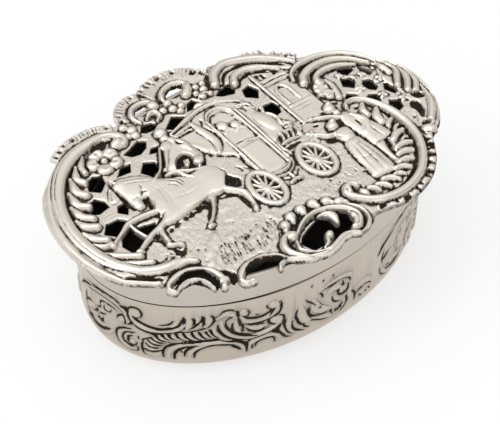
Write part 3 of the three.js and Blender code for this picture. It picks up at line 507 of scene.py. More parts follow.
def front_cartouche(f):
    f.sink([(-12, -33), (-11.6, -29.6), (-10.2, -28.6), (-10.4, -31.4), (-9.6, -34.6)], 0.45, 0.5)
    f.stroke([(-7.8, -28.4), (-4, -26), (0, -25.1), (4, -25.8), (7.5, -28), (9.2, -31), (9, -33.4),
        (7.2, -35.4), (5.9, -35.2)], 1.9, 1.8, ends=(0.6, 0.9))
    f.stroke([(9.6, -27.4), (11.3, -31), (10.9, -34.6), (8.6, -36.8), (6, -37.3)], 1.3, 1.4)
    f.stroke([(7.9, -30), (8.1, -33), (6.4, -35)], 2.2, 1.8, ends=(0.3, 0.9))
    f.bump((6.2, -35.2), 1.5, 1.1, 1.8, -20)
    f.bump((-8.8, -27.9), 1.7, 1.6, 1.9)
    f.stroke([(-8.9, -26.8), (-11, -27.3), (-12.7, -29.4), (-12.8, -32.2), (-11.1, -34.7), (-8.2, -36.8)],
        2.2, 1.8, ends=(0.75, 0.5))
    f.stroke([(-9.2, -30.2), (-10.1, -33), (-8.5, -35.9), (-5.5, -37.4), (-2.2, -37), (1, -35.9), (3.4, -36),
              (5.6, -37.3)], 2.3, 1.7, ends=(0.5, 0.6))
    f.stroke([(-17.9, -34.5), (-17.2, -33.6), (-14.8, -33.4), (-12.2, -34.9), (-9.6, -37), (-8, -37.4)], 1.4,
        1.3, ends=(1.0, 0.5))
    # Painted shade under the front of this bar, with no groove
    f.cut([(-17.1, -34.9), (-15.3, -34.4), (-13.6, -34.9)], 0.8, 0.0, ink_and_shade=1.2)
    f.stroke([(-14.4, -32.4), (-12.6, -34.4), (-9.8, -36.6)], 1.3, 1.2)
    f.stroke([(-5.8, -37), (-3.4, -35.6), (-2.2, -33.8), (-1.4, -32.9)], 1.7, 1.6, ends=(0.6, 0.9))
    f.bump((-1.2, -33.3), 1.6, 1.3, 1.7, 30)
    f.stroke([(0.9, -26), (2.9, -27), (3.7, -28.8), (3.3, -31)], 2.7, 1.8, ends=(0.5, 0.6))
    f.cut([(-10, -28.8), (-11.3, -30.2), (-11.5, -32.4), (-10.2, -34.6), (-7.6, -36.4), (-4.6, -37.6)], 0.8,
        1.1)
    f.cut([(-7.6, -35), (-5.2, -36.3), (-2.4, -36), (0.8, -35), (3.4, -35.2)], 0.5, 0.6)
    f.cut([(-5.6, -27.6), (-2.4, -26.2), (0.6, -26), (4, -27), (6.6, -28.9), (7.6, -31.4)], 0.6, 0.8)
    f.cut([(9, -29), (10.2, -31.6), (9.8, -34), (8, -36)], 0.5, 0.8)
    for x, y, turn in [(-8.1, -24, 62), (-4.9, -22.4, 75), (-1.2, -21.9, 88), (2.7, -22.2, 102),
            (6.2, -23.7, 118), (8.8, -25.8, 130)]:
        way = heading(math.radians(turn))
        f.bump((x, y) + 0.3 * way, 1.65, 1.5, 1.6, turn)
        f.stroke([(x, y), (x, y) - 2.2 * way], 1.8, 1.3, ends=(0.9, 0.4))


def front_arches(f):
    """Double arch at the front left, single arch beside it. The faces under their crests are painted dark, as
    shade.
    """
    # The wedge and the crescent between the arches are sunk and painted dark as shade
    wedge = [(-31.6, -24.6), (-29.8, -26.4), (-27.9, -27.9), (-28.3, -30.2), (-29.1, -30.8), (-30, -31),
        (-30, -28.9), (-30.2, -26.6)]
    f.patch(wedge, 0.0)
    f.sink(wedge, 0.34, 0.3)
    f.cut([(-31, -25.4), (-29.3, -27.4), (-28.9, -29), (-29.6, -30.6)], 1.6, 0.0, ends=(0.6, 0.8), ink_and_shade=1.6)
    crescent = [(-43.3, -24.2), (-42.4, -23.2), (-40.1, -22.3), (-37.8, -22.1), (-35.5, -23), (-33.9, -24.4),
        (-33, -26.1), (-32.8, -28), (-33.2, -29.4), (-34.3, -30), (-34.7, -29), (-34.6, -27.6),
        (-35.6, -25.7), (-37.3, -24.3), (-39.5, -23.7), (-41.8, -24.1), (-42.9, -24.6)]
    f.patch(crescent, 0.0)
    f.stroke([(-43.3, -24.9), (-44.1, -23.8), (-43.6, -22.6), (-42.3, -21.7), (-39.6, -21.1), (-36.8, -21.4),
        (-34.3, -22.8), (-32.3, -24.6), (-31.6, -26.9), (-31.6, -29.2), (-32.6, -30.8)], 2.1, 1.6,
        ends=(0.7, 1.0), power=0.35)
    f.bump((-31.7, -29.2), 1.3, 1.9, 1.6, 80, power=0.35)
    f.sink(crescent, 0.34, 0.3)
    f.cut([(-43.1, -24.4), (-42.2, -23.4), (-40, -22.5), (-37.8, -22.3), (-35.7, -23.1), (-34.1, -24.4),
        (-33.3, -26.1), (-33.1, -28), (-33.5, -29.3)], 1.15, 0.0, ends=(0.8, 0.9), ink_and_shade=1.8)
    f.stroke([(-43, -25.1), (-41.6, -24.4), (-39.4, -24.1), (-37.4, -24.6), (-36, -26), (-35.2, -27.7),
        (-34.9, -29.8)], 1.1, 1.45, ends=(0.8, 0.8))
    f.cut([(-41.4, -25.35), (-39.3, -25.15), (-37.3, -25.75), (-36.5, -26.85), (-36, -28.3)], 1.0, 0.0,
        ends=(0.6, 0.6), ink_and_shade=1.2)
    f.stroke([(-25.9, -33.6), (-27.6, -33.3), (-28.1, -32), (-27.3, -30.7), (-26, -29.6), (-24.2, -28.8),
        (-21.6, -28.7), (-19, -28.9), (-16.9, -29.9), (-15.6, -31.4), (-14.6, -33)], 2.1, 1.6,
        ends=(0.75, 0.7), power=0.35)
    f.cut([(-26.1, -31.7), (-25.1, -30.4), (-23.2, -29.6), (-21, -29.6), (-18.7, -30.4), (-16.9, -31.5),
        (-15.5, -33)], 1.3, 0.0, ends=(0.8, 0.9), ink_and_shade=2.0)
    f.bump((-25.9, -33.7), 1.3, 1.0, 1.4)
    f.cut([(-18.2, -28.9), (-16.8, -29.6)], 0.6, 0.3, ink_and_shade=0.7)


def blossom(f):
    """Five cupped petals round a small boss."""
    centre = np.array((-30.9, 24.1))
    for k in range(5):
        a = math.radians(27 + 72 * k)
        way, gap = heading(a), heading(a + math.pi / 5)
        f.bump(centre + 3.1 * way, 2.3, 2.0, 1.4, math.degrees(a) + 90, power=0.4)
        f.cut([centre + 2.0 * way, centre + 3.6 * way], 1.5, 0.4, ends=(0.9, 0.5))
        f.cut([centre + 1.4 * gap, centre + 4.4 * gap], 0.5, 0.7, ends=(0.8, 0.8))
    f.sink(oval(*centre, 1.7, 1.7), 0.5, 0.5)
    f.bump(centre, 1.0, 1.0, 1.2)


def lattice_flowers(f):
    for x, y, r in [(41.6, 4.6, 1.5), (46.6, 4.4, 1.2), (45.8, 9, 1.2), (49, 4.8, 1.5), (44.9, -1, 1.3),
                    (42.6, 9.6, 1.1), (48.6, -5.4, 1.3), (40.3, 12.3, 1.1)]:
        for k in range(4):
            a = math.radians(45 + 90 * k)
            f.bump((x, y) + 0.62 * r * heading(a), r * 0.5, r * 0.5, 0.6, solid=False)
        f.bump((x, y), r * 0.35, r * 0.35, 0.8, solid=False)


def horse(f):
    body = [(-34.9, 14.6), (-32.4, 16.2), (-28, 14.6), (-25, 12.2), (-22.6, 9.4), (-18, 7), (-13, 6.6),
        (-9.6, 4.8), (-8.2, 1.6), (-9.2, -2), (-11.6, -4.2), (-15.4, -4.6), (-18.6, -4), (-24, -4.9),
        (-28.4, -5.6), (-31.6, -5.4), (-33, -4.4), (-31.2, -1.6), (-30.6, 1.4), (-29.4, 4.2), (-29.8, 5.8),
        (-31.2, 6), (-31.8, 3.8), (-33, 3.2), (-34.3, 4), (-34.5, 8), (-34.7, 12)]
    f.patch(body, 1.5, 2.4)
    top = GROUND + 1.2
    for x, y, rx, ry, rise, turn in [(-12.8, 1, 4.2, 5.2, 0.5, 0), (-28.2, 1.4, 2.6, 5.4, 0.45, -6),
            (-20.4, 0.4, 6.5, 4.4, 0.4, 4), (-30.4, 10.8, 2.8, 3.6, 0.4, -20)]:
        f.bump((x, y), rx, ry, rise, turn, base=top + 0.1, blend=0.3, power=1.0)
    f.stroke([(-33.6, 15), (-34.2, 16), (-34.7, 17)], 1.0, 1.3, ends=(0.9, 0.4))
    # Mane, saddle cloth, bridle, collar and girth
    for line, width, depth in [([(-32.8, 14.7), (-29.1, 13.1), (-25.2, 11.1)], 0.45, 0.22),
                               ([(-32.9, 13.4), (-29.1, 11.7), (-24.8, 9.4)], 0.4, 0.16),
                               ([(-31.4, 15.2), (-28, 13.6), (-25, 11.9)], 0.4, 0.16),
                               ([(-22.6, 8.6), (-20.5, 7.2), (-19.5, 5.2), (-19.5, 3.5)], 0.6, 0.4),
                               ([(-23, 7.4), (-21, 6.2), (-20.3, 4.3), (-20.4, 2.9)], 0.5, 0.3),
                               ([(-23.4, 6.3), (-21.9, 5.1), (-21.1, 3.6)], 0.45, 0.22),
                               ([(-25.3, 1.4), (-21.5, 0), (-17.7, 0.1)], 0.6, 0.1)]:
        f.cut(line, width, depth)
    f.cut([(-30.6, 7.2), (-29.9, 8.1), (-29.1, 7.6)], 0.7, 0.7, ends=(0.7, 0.7))
    f.cut([(-29.8, 8.2), (-29.3, 9.6), (-29, 10.8)], 0.35, 0.3)
    f.cut([(-30, 5.8), (-30.2, 3.6), (-31, 1.4)], 1.1, 1.1, ends=(0.7, 0.5))
    f.cut([(-34, 7.6), (-32.6, 7.2), (-31.4, 7.4)], 0.35, 0.2)
    for dx in (0, 1.1):
        f.cut([(-27.2 + dx, 10.8), (-26.2 + dx, 6), (-26.8 + dx, 1), (-28.6 + dx, -3.4)], 0.4, 0.08)
    f.cut([(-22.4, 7.6), (-21.4, 3), (-22, -3.6)], 0.4, 0.06)
    f.cut([(-26, 2.2), (-20, 1.6), (-14, 2), (-9.6, 2.8)], 0.5, 0.05)
    # Second head beyond
    f.patch([(-35.6, 15), (-37, 13.4), (-38.4, 10.8), (-37.6, 9.2), (-36, 9.6), (-35.4, 12)], 0.7, 1.2)
    for k in range(4):
        f.cut([(-35.6 - 0.55 * k, 13.8 - 0.85 * k), (-36.8 - 0.4 * k, 13.2 - 0.95 * k)], 0.4, 0.4)
    f.cut([(-35.2, 13.4), (-35.1, 10), (-35.1, 7), (-35, 4.4)], 0.8, 0.6)
    # Legs and hooves
    f.stroke([(-30, 0.2), (-33.6, 1), (-38.8, 1.2), (-42.4, -0.6), (-46.8, -2.8)], 1.9, 1.3, ends=(1.0, 0.55),
        run=0.6)
    f.bump((-46.6, -2.9), 1.2, 0.8, 1.2, -20)
    f.stroke([(-29.5, -3), (-33.4, -4.8), (-37.4, -6), (-42.8, -8.6)], 2.1, 1.3, ends=(1.0, 0.6), run=0.6)
    f.bump((-42.3, -8.5), 1.3, 0.9, 1.3, -25)
    f.stroke([(-33.2, -4.8), (-34.2, -7), (-34.6, -10), (-35, -11.3), (-32.7, -12.5)], 1.6, 1.2,
        ends=(1.0, 0.8))
    f.stroke([(-33, -12.4), (-31.9, -13.3)], 1.3, 0.9, ends=(0.9, 0.6))
    f.stroke([(-39, 0.8), (-38.7, -2.4), (-37.9, -5.4)], 1.1, 0.8, ends=(1, 1))
    f.stroke([(-15.2, -2.4), (-17.6, -5.6), (-19.8, -8.6), (-23.2, -12.4)], 2.5, 1.3, ends=(1.0, 0.45),
        run=0.8)
    f.stroke([(-23.1, -12.2), (-21.6, -12.4)], 1.3, 1.0, ends=(1.0, 0.5))
    f.stroke([(-12.6, -3), (-10.6, -5.6), (-8.7, -8), (-8.9, -11), (-9.4, -13.6)], 2.3, 1.4, ends=(1.0, 0.5),
        run=0.6)
    f.stroke([(-9.3, -13.2), (-9.9, -14.6)], 1.6, 1.1, ends=(0.8, 0.9))
    # Torn shadows under the belly and beside the legs
    for x, y, w in [(-31.4, -7, 1.0), (-29.2, -6.5, 1.4), (-26, -6, 0.8), (-24, -5.8, 1.5),
            (-21.8, -5.7, 1.2)]:
        f.cut([(x - 0.8 * w, y - 0.6), (x, y), (x + 0.8 * w, y + 0.2)], 1.0, 0.7, ends=(0.3, 0.6))
    f.sink([(-21, -5.2), (-19.4, -4.8), (-18, -4.4), (-17.9, -5.4), (-18.9, -7.2), (-21, -9.6),
        (-22.4, -10.8), (-21.3, -8.8), (-19.6, -6.8)], 0.4, 0.4)
    f.sink([(-37.6, -7.2), (-35.4, -6.2), (-35.4, -9.6), (-36, -11), (-36.3, -8.4)], 0.4, 0.4)
    f.sink([(-34.8, -13.2), (-33.2, -14.2), (-31.8, -13.8), (-32.6, -15.2), (-34.6, -15.8)], 0.4, 0.6)
    tear = np.random.default_rng(3)
    for _ in range(30):
        x, y = tear.uniform(-37.2, -31.6), tear.uniform(-16.8, -13.2)
        f.cut([(x, y), (x + tear.uniform(-0.8, 0.8), y + tear.uniform(-0.6, 0.8))], 0.6, 0.25,
            ink_and_shade=tear.uniform(0.4, 1.0))
    f.cut([(-15, -5.6), (-12, -6.4), (-10.4, -7.6), (-10.4, -10), (-10.6, -13)], 1.0, 0.6)
    f.cut([(-34, -3.2), (-31.8, -2.6), (-29.6, -1.6)], 0.6, 0.7)


def driver(f):
    """Rider with a plain head, the coat blown back, reins to the bit."""
    f.patch([(-14.8, 20.4), (-12.4, 21), (-10.4, 18.4), (-9, 14.6), (-8.6, 10.6), (-10.4, 7.6), (-13, 6.6),
        (-16.6, 7.4), (-18.6, 9.4), (-20.8, 10.6), (-19.6, 13.6), (-17.4, 17.2), (-16.4, 19.2)], 1.2, 2.4)
    top = GROUND + 1.1
    f.bump((-15, 18.2), 1.9, 1.5, 0.55, 40, base=top, blend=0.2)
    f.bump((-13, 23.7), 1.9, 2.0, 1.9)
    f.bump((-13.3, 21.3), 1.4, 1.4, 1.5, blend=0.2)
    f.stroke([(-15.4, 17.8), (-17.6, 14.6), (-20.4, 11)], 1.5, 0.5, base=top, ends=(1, 0.8), blend=0.15)
    f.stroke([(-12.6, 19.6), (-11, 16.6), (-10.4, 13.4)], 2.6, 0.4, base=top, ends=(0.8, 0.6), blend=0.2,
        power=1.0)
    f.sink([(-16.9, 17.8), (-16.2, 17.2), (-19.8, 11.5), (-20.6, 11.3), (-20.7, 12.1)], 0.45, 0.4, False)
    f.sink([(-17.4, 9.8), (-15.4, 12.9), (-13, 13.3), (-11.7, 11.8), (-12, 9.4), (-12.2, 7.6), (-13.4, 6.7),
        (-15.6, 7.4)], 0.4, 0.5)
    for k in range(4):
        f.stroke([(-14.9 + 0.5 * k, 8.6 + 0.4 * k), (-13.8 + 0.5 * k, 12.2)], 0.4, 0.45, base=0.55,
            solid=False)
    f.bump((-11.2, 8.8), 1.5, 1.4, 0.5, 20, base=top, blend=0.2)
    f.stroke([(-16.8, 18.8), (-19.4, 14.6), (-22, 11.3), (-25.4, 9.6), (-29.4, 8.2)], 0.75, 0.8,
        base=GROUND + 0.8, ends=(0.8, 0.8))
    f.stroke([(-21.4, 9.6), (-18, 8.4), (-15.4, 6.6), (-12, 5.6)], 1.1, 0.7, base=GROUND + 1.0,
        ends=(0.5, 0.5))
    f.cut([(-22.6, 10.2), (-20.8, 9), (-19.8, 7.6)], 0.9, 0.7)
    f.cut([(-19.2, 7.6), (-17.4, 6.2), (-15.4, 5.6)], 0.55, 0.5)
    f.stroke([(-18.2, 8), (-17.4, 5.6), (-16.2, 4.4)], 1.2, 0.8, base=GROUND + 1.0, ends=(0.7, 0.9))
    f.cut([(-11.6, 21.2), (-10.8, 21.9), (-10.2, 22.8)], 0.8, 0.7, ends=(0.7, 0.7))


def coach(f):
    body = [(-11.6, 18), (-11.2, 21.6), (-4, 24.4), (2, 25), (8, 23.8), (12.2, 20.8), (13.8, 17.6),
        (13, 14.4), (15.2, 8), (14.4, 4.8), (10.4, 2.4), (9, -4), (7.6, -6.8), (4, -8), (0, -7.4), (-1.4, -2),
        (-2, 4), (-5, 6.8), (-8, 11)]
    f.patch(body, 0.75, 0.8)
    top = GROUND + 0.75
    # Hood over the front seat, with its hollow
    f.stroke([(-11.2, 21.4), (-7, 22.6), (-3, 23.8), (2, 24.6), (7, 23.6), (11.6, 20.6)], 1.5, 0.8,
        base=top - 0.1)
    f.stroke([(-10.6, 20.2), (-6, 20.9), (-4, 21.2)], 1.0, 0.7, base=top - 0.1)
    f.cut([(-11, 18.9), (-9.8, 19.1), (-7.5, 19.3), (-5.2, 19)], 0.8, 0.7, ends=(0.7, 0.7))
    f.cut([(-11.7, 18.6), (-11.8, 17.4), (-10.9, 16.3)], 1.0, 0.7, ends=(0.6, 0.6))
    f.stroke([(-10.9, 16.6), (-8.8, 14.6), (-6.8, 11.6), (-6, 9.8)], 0.7, 0.3, base=top - 0.2, power=1.0)
    f.stroke([(-4.4, 21.6), (-4, 18), (-3.3, 14), (-3.4, 11), (-5, 7.8)], 2.4, 0.8, base=top - 0.1,
        ends=(0.5, 0.6))
    f.cut([(-4.6, 20.9), (-3.6, 22.4), (-1.6, 23.4)], 0.4, 0.4)
    f.cut([(-1.5, 21.6), (-1.8, 20), (-2.8, 18.6)], 0.7, 0.6)
    f.cut([(-2.6, 18.6), (-1.7, 15), (-1.6, 12), (-2.6, 9.4), (-3.8, 7.8)], 0.55, 0.6)
    f.cut([(-6.4, 10), (-7, 8.8), (-6, 9.6)], 0.9, 0.6)
    # Posts and door
    for x, low, high in [(-0.7, 2, 19.4), (7.5, -6, 19.8), (8.6, -4.4, 19)]:
        f.stroke([(x, low), (x, (low + high) / 2), (x, high)], 0.9, 0.5, base=top, ends=(0.8, 0.8))
    f.stroke([(-0.5, 19.6), (1, 21.6), (3.4, 22.2), (5.8, 21.4), (7.6, 19.4)], 1.0, 0.6, base=top)
    window = [(0.1, 13.6), (0.1, 18.6), (1, 20), (3.4, 20.7), (5.8, 20), (6.7, 18.4), (6.7, 13.6)]
    f.sink(window, top - 0.3, 0.4, False)
    f.cut([(0.1, 18.8), (1.4, 20.3), (3.4, 20.8), (5.4, 20.4), (6.8, 18.6)], 0.8, 0.55, ends=(0.8, 0.8))
    f.cut([(6.7, 18.4), (6.7, 16.8)], 0.6, 0.4)
    # Two plain heads at the window, with shoulders
    f.bump((1.9, 15.6), 1.6, 1.9, 0.8, base=top - 0.15, blend=0.1)
    f.bump((5.1, 14), 1.3, 1.6, 0.75, base=top - 0.15, blend=0.1)
    f.stroke([(0.6, 12.6), (2, 13.6), (3.4, 12.8)], 1.8, 0.5, base=top - 0.1, blend=0.1)
    f.stroke([(3.9, 11.8), (5.2, 12.4), (6.4, 11.6)], 1.6, 0.5, base=top - 0.1, blend=0.1)
    f.cut([(3.4, 13.4), (3.1, 14.8), (3.5, 16.4)], 0.45, 0.35)
    f.cut([(0.2, 14.8), (1, 13.6), (0.4, 13)], 0.5, 0.35)
    f.cut([(6.8, 13.6), (6.6, 12)], 0.4, 0.3)
    f.cut([(0.2, 7.5), (1.6, 7.8), (3.2, 7.5)], 0.5, 0.35)
    f.cut([(7, 8.6), (6.6, 6.8), (5.8, 6.8)], 0.5, 0.35)
    f.stroke([(-0.2, 6.6), (3, 7), (7, 6.2)], 0.7, 0.4, base=top - 0.1)
    f.patch([(0.4, 5.6), (6.6, 5.6), (6.8, -5.4), (4.8, -6.6), (0.6, -6.6)], 0.25, 0.6, False,
        base=top - 0.05)
    f.cut([(0, 5.6), (-0.1, 0), (0, -6.2)], 0.4, 0.3)
    f.cut([(7, 5.6), (7, -4.6), (6, -6.4)], 0.45, 0.35)
    f.cut([(-1.4, 4.6), (-1.5, 0), (-1.4, -3)], 0.7, 0.5)
    f.cut([(9.3, 4), (9.2, -1), (9, -4.4)], 0.8, 0.6)
    # Rear quarter
    f.stroke([(9.8, 19.6), (12.4, 18.2), (13.2, 16.4)], 1.1, 0.7, base=top - 0.1)
    f.cut([(9.6, 18.6), (10.8, 17.4), (10.4, 16)], 0.8, 0.6)
    f.cut([(12.6, 18.8), (13.3, 17.4), (12.8, 16)], 0.8, 0.6)
    f.bump((12.4, 10), 2.2, 4.8, 0.7, 8, base=top - 0.1, power=0.7)
    f.stroke([(13.8, 13.6), (15.6, 10), (15.2, 6)], 1.0, 0.5, base=top - 0.2)
    f.cut([(14.7, 16), (13.8, 14.2), (14.4, 12.4)], 0.8, 0.6)
    f.cut([(15, 7), (14.8, 5.4), (15.6, 4.8)], 0.7, 0.5)
    # Springs, step and under-carriage
    for dy, w in [(0, 0.9), (-1.3, 0.8)]:
        f.stroke([(1.2, -7.4 + dy), (3.4, -7.9 + dy), (6, -7.6 + dy), (8, -6 + dy), (9, -4 + dy)], w, 1.0,
            base=GROUND + 0.3)
    f.cut([(2.4, -8.8), (4.6, -9), (6.8, -8.2), (8.6, -6)], 0.7, 0.6)
    f.stroke([(4.8, -9), (5.1, -11), (4.9, -12.2)], 1.0, 0.9)
    f.stroke([(3.3, -12.6), (5, -12.2), (6.7, -12.6)], 1.3, 1.1, ends=(0.8, 0.8))
    f.cut([(2.2, -10.2), (3.6, -11), (4.2, -12)], 0.6, 0.35)
    f.cut([(8.6, -9), (6.8, -10.6), (6.2, -12)], 0.6, 0.35)
    f.stroke([(9.8, 2.8), (9.4, -1), (10.2, -3.6)], 1.0, 0.9)
    f.sink([(10.4, -1.4), (14.6, -1), (14.8, -2), (10.6, -2.6)], 0.5)
    f.stroke([(10, 0), (13, 0.4), (16, -0.2)], 1.1, 0.9)
    for k in range(4):
        x = 10.8 + 1.6 * k
        f.cut([(x, 1.2), (x + 0.9, 2.6), (x + 1.1, 4)], 0.8, 0.55)
        f.stroke([(x + 0.9, 0.8), (x + 1.7, 2.6), (x + 1.8, 4.4)], 0.8, 0.8)
    f.sink([(-11, -3.4), (-8.8, 0.4), (-7, -1), (-6.2, -3), (-7.6, -5.4), (-9.4, -4.4)], 0.42)
    f.cut([(-8.6, 3.6), (-8.4, 2), (-8.5, 1)], 1.0, 0.6)
    for x, y in [(-4.6, 1.6), (-3, 0.2)]:
        f.cut([(x, y), (x + 0.8, y - 1.6), (x + 0.5, y - 3)], 0.6, 0.45)


def wheel(f, cx, cy, a, b, spokes):
    f.patch(oval(cx, cy, a, b), 0.6, 0.5)
    f.sink(oval(cx, cy, a - 1.4, b - 1.6), 0.42, 0.3)
    f.stroke(oval(cx, cy, a - 0.7, b - 0.8, n=24), 1.6, 0.5, base=GROUND + 0.5, closed=True, power=0.25)
    for k in range(spokes):
        t = 2 * math.pi * (k + 0.5) / spokes
        tip = (cx + (a - 1.2) * math.cos(t), cy + (b - 1.4) * math.sin(t))
        f.stroke([(cx, cy), ((cx + tip[0]) / 2, (cy + tip[1]) / 2), tip], 0.8, 0.8, base=0.4, ends=(1, 1),
            solid=False, power=0.25)
    f.bump((cx, cy), 1.0, 1.5, 0.55)


def house(f):
    f.patch([(20, 3), (20, 27.5), (22, 29), (26.5, 28.2), (29.6, 25.4), (29.6, 3)], 0.3, 0.4, False)
    top = GROUND + 0.3
    f.stroke([(20.3, 4), (20.3, 15), (20.3, 27.4)], 0.9, 0.3, base=top, ends=(0.9, 0.9))
    f.stroke([(20.4, 21.4), (25, 21.6), (29.4, 21.2)], 0.8, 0.35, base=top, ends=(0.9, 0.9))
    f.cut([(21, 22.3), (25, 22.4), (29, 22)], 0.4, 0.35, ends=(0.8, 0.8))
    f.cut([(21, 20.5), (25, 20.7), (29, 20.2)], 0.35, 0.25, ends=(0.8, 0.8))
    f.stroke([(20.4, 23.2), (25, 23.3), (29.4, 22.9)], 0.6, 0.25, base=top, ends=(0.9, 0.9))
    for x in (22.6, 27.2):
        f.sink([(x - 1, 24), (x - 1, 26.4), (x + 1, 26.4), (x + 1, 24)], 0.7, 0.35, False)
        f.stroke([(x, 24), (x, 26.4)], 0.3, 0.3, base=0.75, ends=(1, 1))
    arch = [(22.8, 12), (22.8, 17), (23.4, 18.4), (24.2, 18.9), (25, 18.4), (25.6, 17), (25.6, 12)]
    f.sink(arch, 1.0, 0.35, False)
    f.stroke([(22.3, 12), (22.2, 17), (23, 19), (24.2, 19.6), (25.4, 19), (26.2, 17), (26.1, 12)], 0.7, 0.3,
        base=top, ends=(1, 1))
    f.cut([(23.4, 18.2), (24.2, 18.9), (25.2, 18)], 0.5, 0.4)
    for y in (11.3, 9.8, 8.4):
        f.cut([(21.6, y), (24.6, y), (27.8, y)], 0.35, 0.28, ends=(0.6, 0.6))
    f.stroke([(21.4, 10.6), (25, 10.6), (28.4, 10.6)], 0.6, 0.3, base=top, ends=(0.9, 0.9))


def foliage(f, rng):
    """Soft leaf clumps beside the house and behind the coach."""
    for x, y, r in [(33, 11.3, 2.5), (33.4, 7.8, 2.0), (34.4, 13.6, 1.5), (31.8, 9.4, 1.6)]:
        f.bump((x, y), r, r * 0.9, 1.0, rng.uniform(0, 90), blend=0.2)
        for _ in range(4):
            a = rng.uniform(0, 6.28)
            f.bump((x, y) + 0.6 * r * heading(a), r * 0.45, r * 0.35, 0.5, rng.uniform(0, 180),
                   base=GROUND + 0.6, blend=0.1)
    for x, y in [(16.8, 6.6), (18.4, 4), (17.2, 1.6), (19.4, -1.2), (18.2, -3.6)]:
        for _ in range(4):
            f.bump((x + rng.uniform(-0.9, 0.9), y + rng.uniform(-0.9, 0.9)), 0.9, 0.6, 0.5,
                rng.uniform(0, 180), blend=0.1)
    for x, y in [(26.8, 3.4), (22.2, 0.8), (32.2, 4.6), (35.6, -0.4)]:
        f.cut([(x - 0.6, y + 0.4), (x, y - 0.3), (x + 0.8, y - 0.2)], 0.9, 0.5)


def couple(f):
    """Lady and gentleman with plain heads, arms held out towards the coach."""
    # Gentleman: coat, sleeve, legs, arm held out, plain head
    f.patch([(29, -1.4), (30.6, 0.2), (32.4, -0.6), (34.2, -4), (36, -9), (36.8, -13.4), (35.4, -14.9),
        (30, -14.9), (29.3, -9), (28.8, -4.6)], 1.2, 2.4)
    top = GROUND + 0.9
    f.stroke([(32.2, -2.4), (33.8, -6), (32.8, -8.8), (31, -9.8)], 1.9, 0.6, base=top, ends=(0.8, 0.6),
        blend=0.15)
    f.bump((29.2, 3.3), 1.8, 2.0, 1.7, blend=0.1)
    f.bump((29.7, 4.4), 1.4, 1.1, 1.9, 20, blend=0.15)
    f.bump((29.8, 0.9), 1.2, 1.4, 1.3, blend=0.15)
    f.stroke([(29.8, -1.3), (27.2, 0.5), (24.8, 1.9), (22.8, 2.9)], 1.6, 1.1, ends=(1, 0.6), blend=0.15)
    f.bump((22.6, 3), 0.9, 0.7, 1.0, -30, blend=0.1)
    f.patch([(30, -14.6), (33, -14.6), (31.7, -19), (31.2, -22.8), (29.9, -22.8), (29.9, -18)], 0.9, 1.2)
    f.patch([(33.9, -14.8), (35.2, -15), (34.7, -18.4), (32.9, -21), (32.4, -20)], 0.7, 0.9)
    f.bump((30.6, -23.2), 1.3, 0.7, 0.9)
    f.cut([(31.5, -4.6), (31.8, -6.2), (31.4, -7.8)], 0.7, 0.6)
    f.cut([(33.2, -9.4), (33.4, -12), (34, -14.6)], 0.4, 0.35)
    f.cut([(30.3, -10), (30.4, -12), (30, -14.6)], 0.35, 0.2)
    f.cut([(29.9, -15), (32, -15.1), (34, -15), (36.2, -14.8)], 0.5, 0.4)
    f.sink([(33.6, -15.4), (32.2, -18), (31.7, -21.8), (32.3, -21.4), (33.2, -18.4), (34.2, -15.6)], 0.5, 0.3)
    # Lady: skirt with folds, bodice, arm held out, plain head
    f.patch([(24.2, -9.2), (23, -12), (22.4, -16), (22.2, -20), (21.8, -24.4), (25, -25.5), (28.6, -25),
        (29.3, -19), (28.9, -13), (27.9, -9.2)], 1.5, 3.0)
    f.patch([(23.2, -6), (23.9, -4.6), (27.3, -4.6), (28.5, -6), (27.7, -9.9), (24.5, -9.9)], 1.6, 2.0)
    f.bump((25.8, -6.9), 2.0, 1.8, 0.35, base=GROUND + 1.45, blend=0.15)
    for x0, x1, x2 in [(25, 24, 23.3), (26.1, 25.9, 25.4), (27, 27.6, 27.4)]:
        f.cut([(x0, -10.8), (x1, -17), (x2, -24.2)], 0.6, 0.22)
    f.cut([(25.2, -12), (26.6, -12.3), (27.8, -11.2)], 0.4, 0.3)
    f.cut([(22.7, -16.4), (25.2, -18), (28.8, -16.2)], 0.4, 0.18)
    f.bump((25.4, -2.6), 1.7, 1.9, 1.8, blend=0.1)
    f.bump((26.1, -1.6), 1.4, 1.1, 2.0, 20, blend=0.15)
    f.stroke([(24.2, -5.6), (22, -4.9), (20.3, -3.2), (19, -1.8)], 1.6, 1.2, ends=(1, 0.55), blend=0.15)
    f.sink([(20.4, -6), (22.6, -6.4), (23.4, -7.8), (22.3, -7.8), (20.8, -6.9)], 0.5, 0.4)
    f.sink([(28.8, -7.4), (29.1, -7.6), (29.6, -13), (29.8, -19), (29.8, -22.8), (29.4, -22.6), (29.4, -16),
        (29, -10.4)], 0.5, 0.3)
    f.cut([(25.4, 0.7), (26.6, -0.1), (28, -0.6)], 0.9, 0.6)


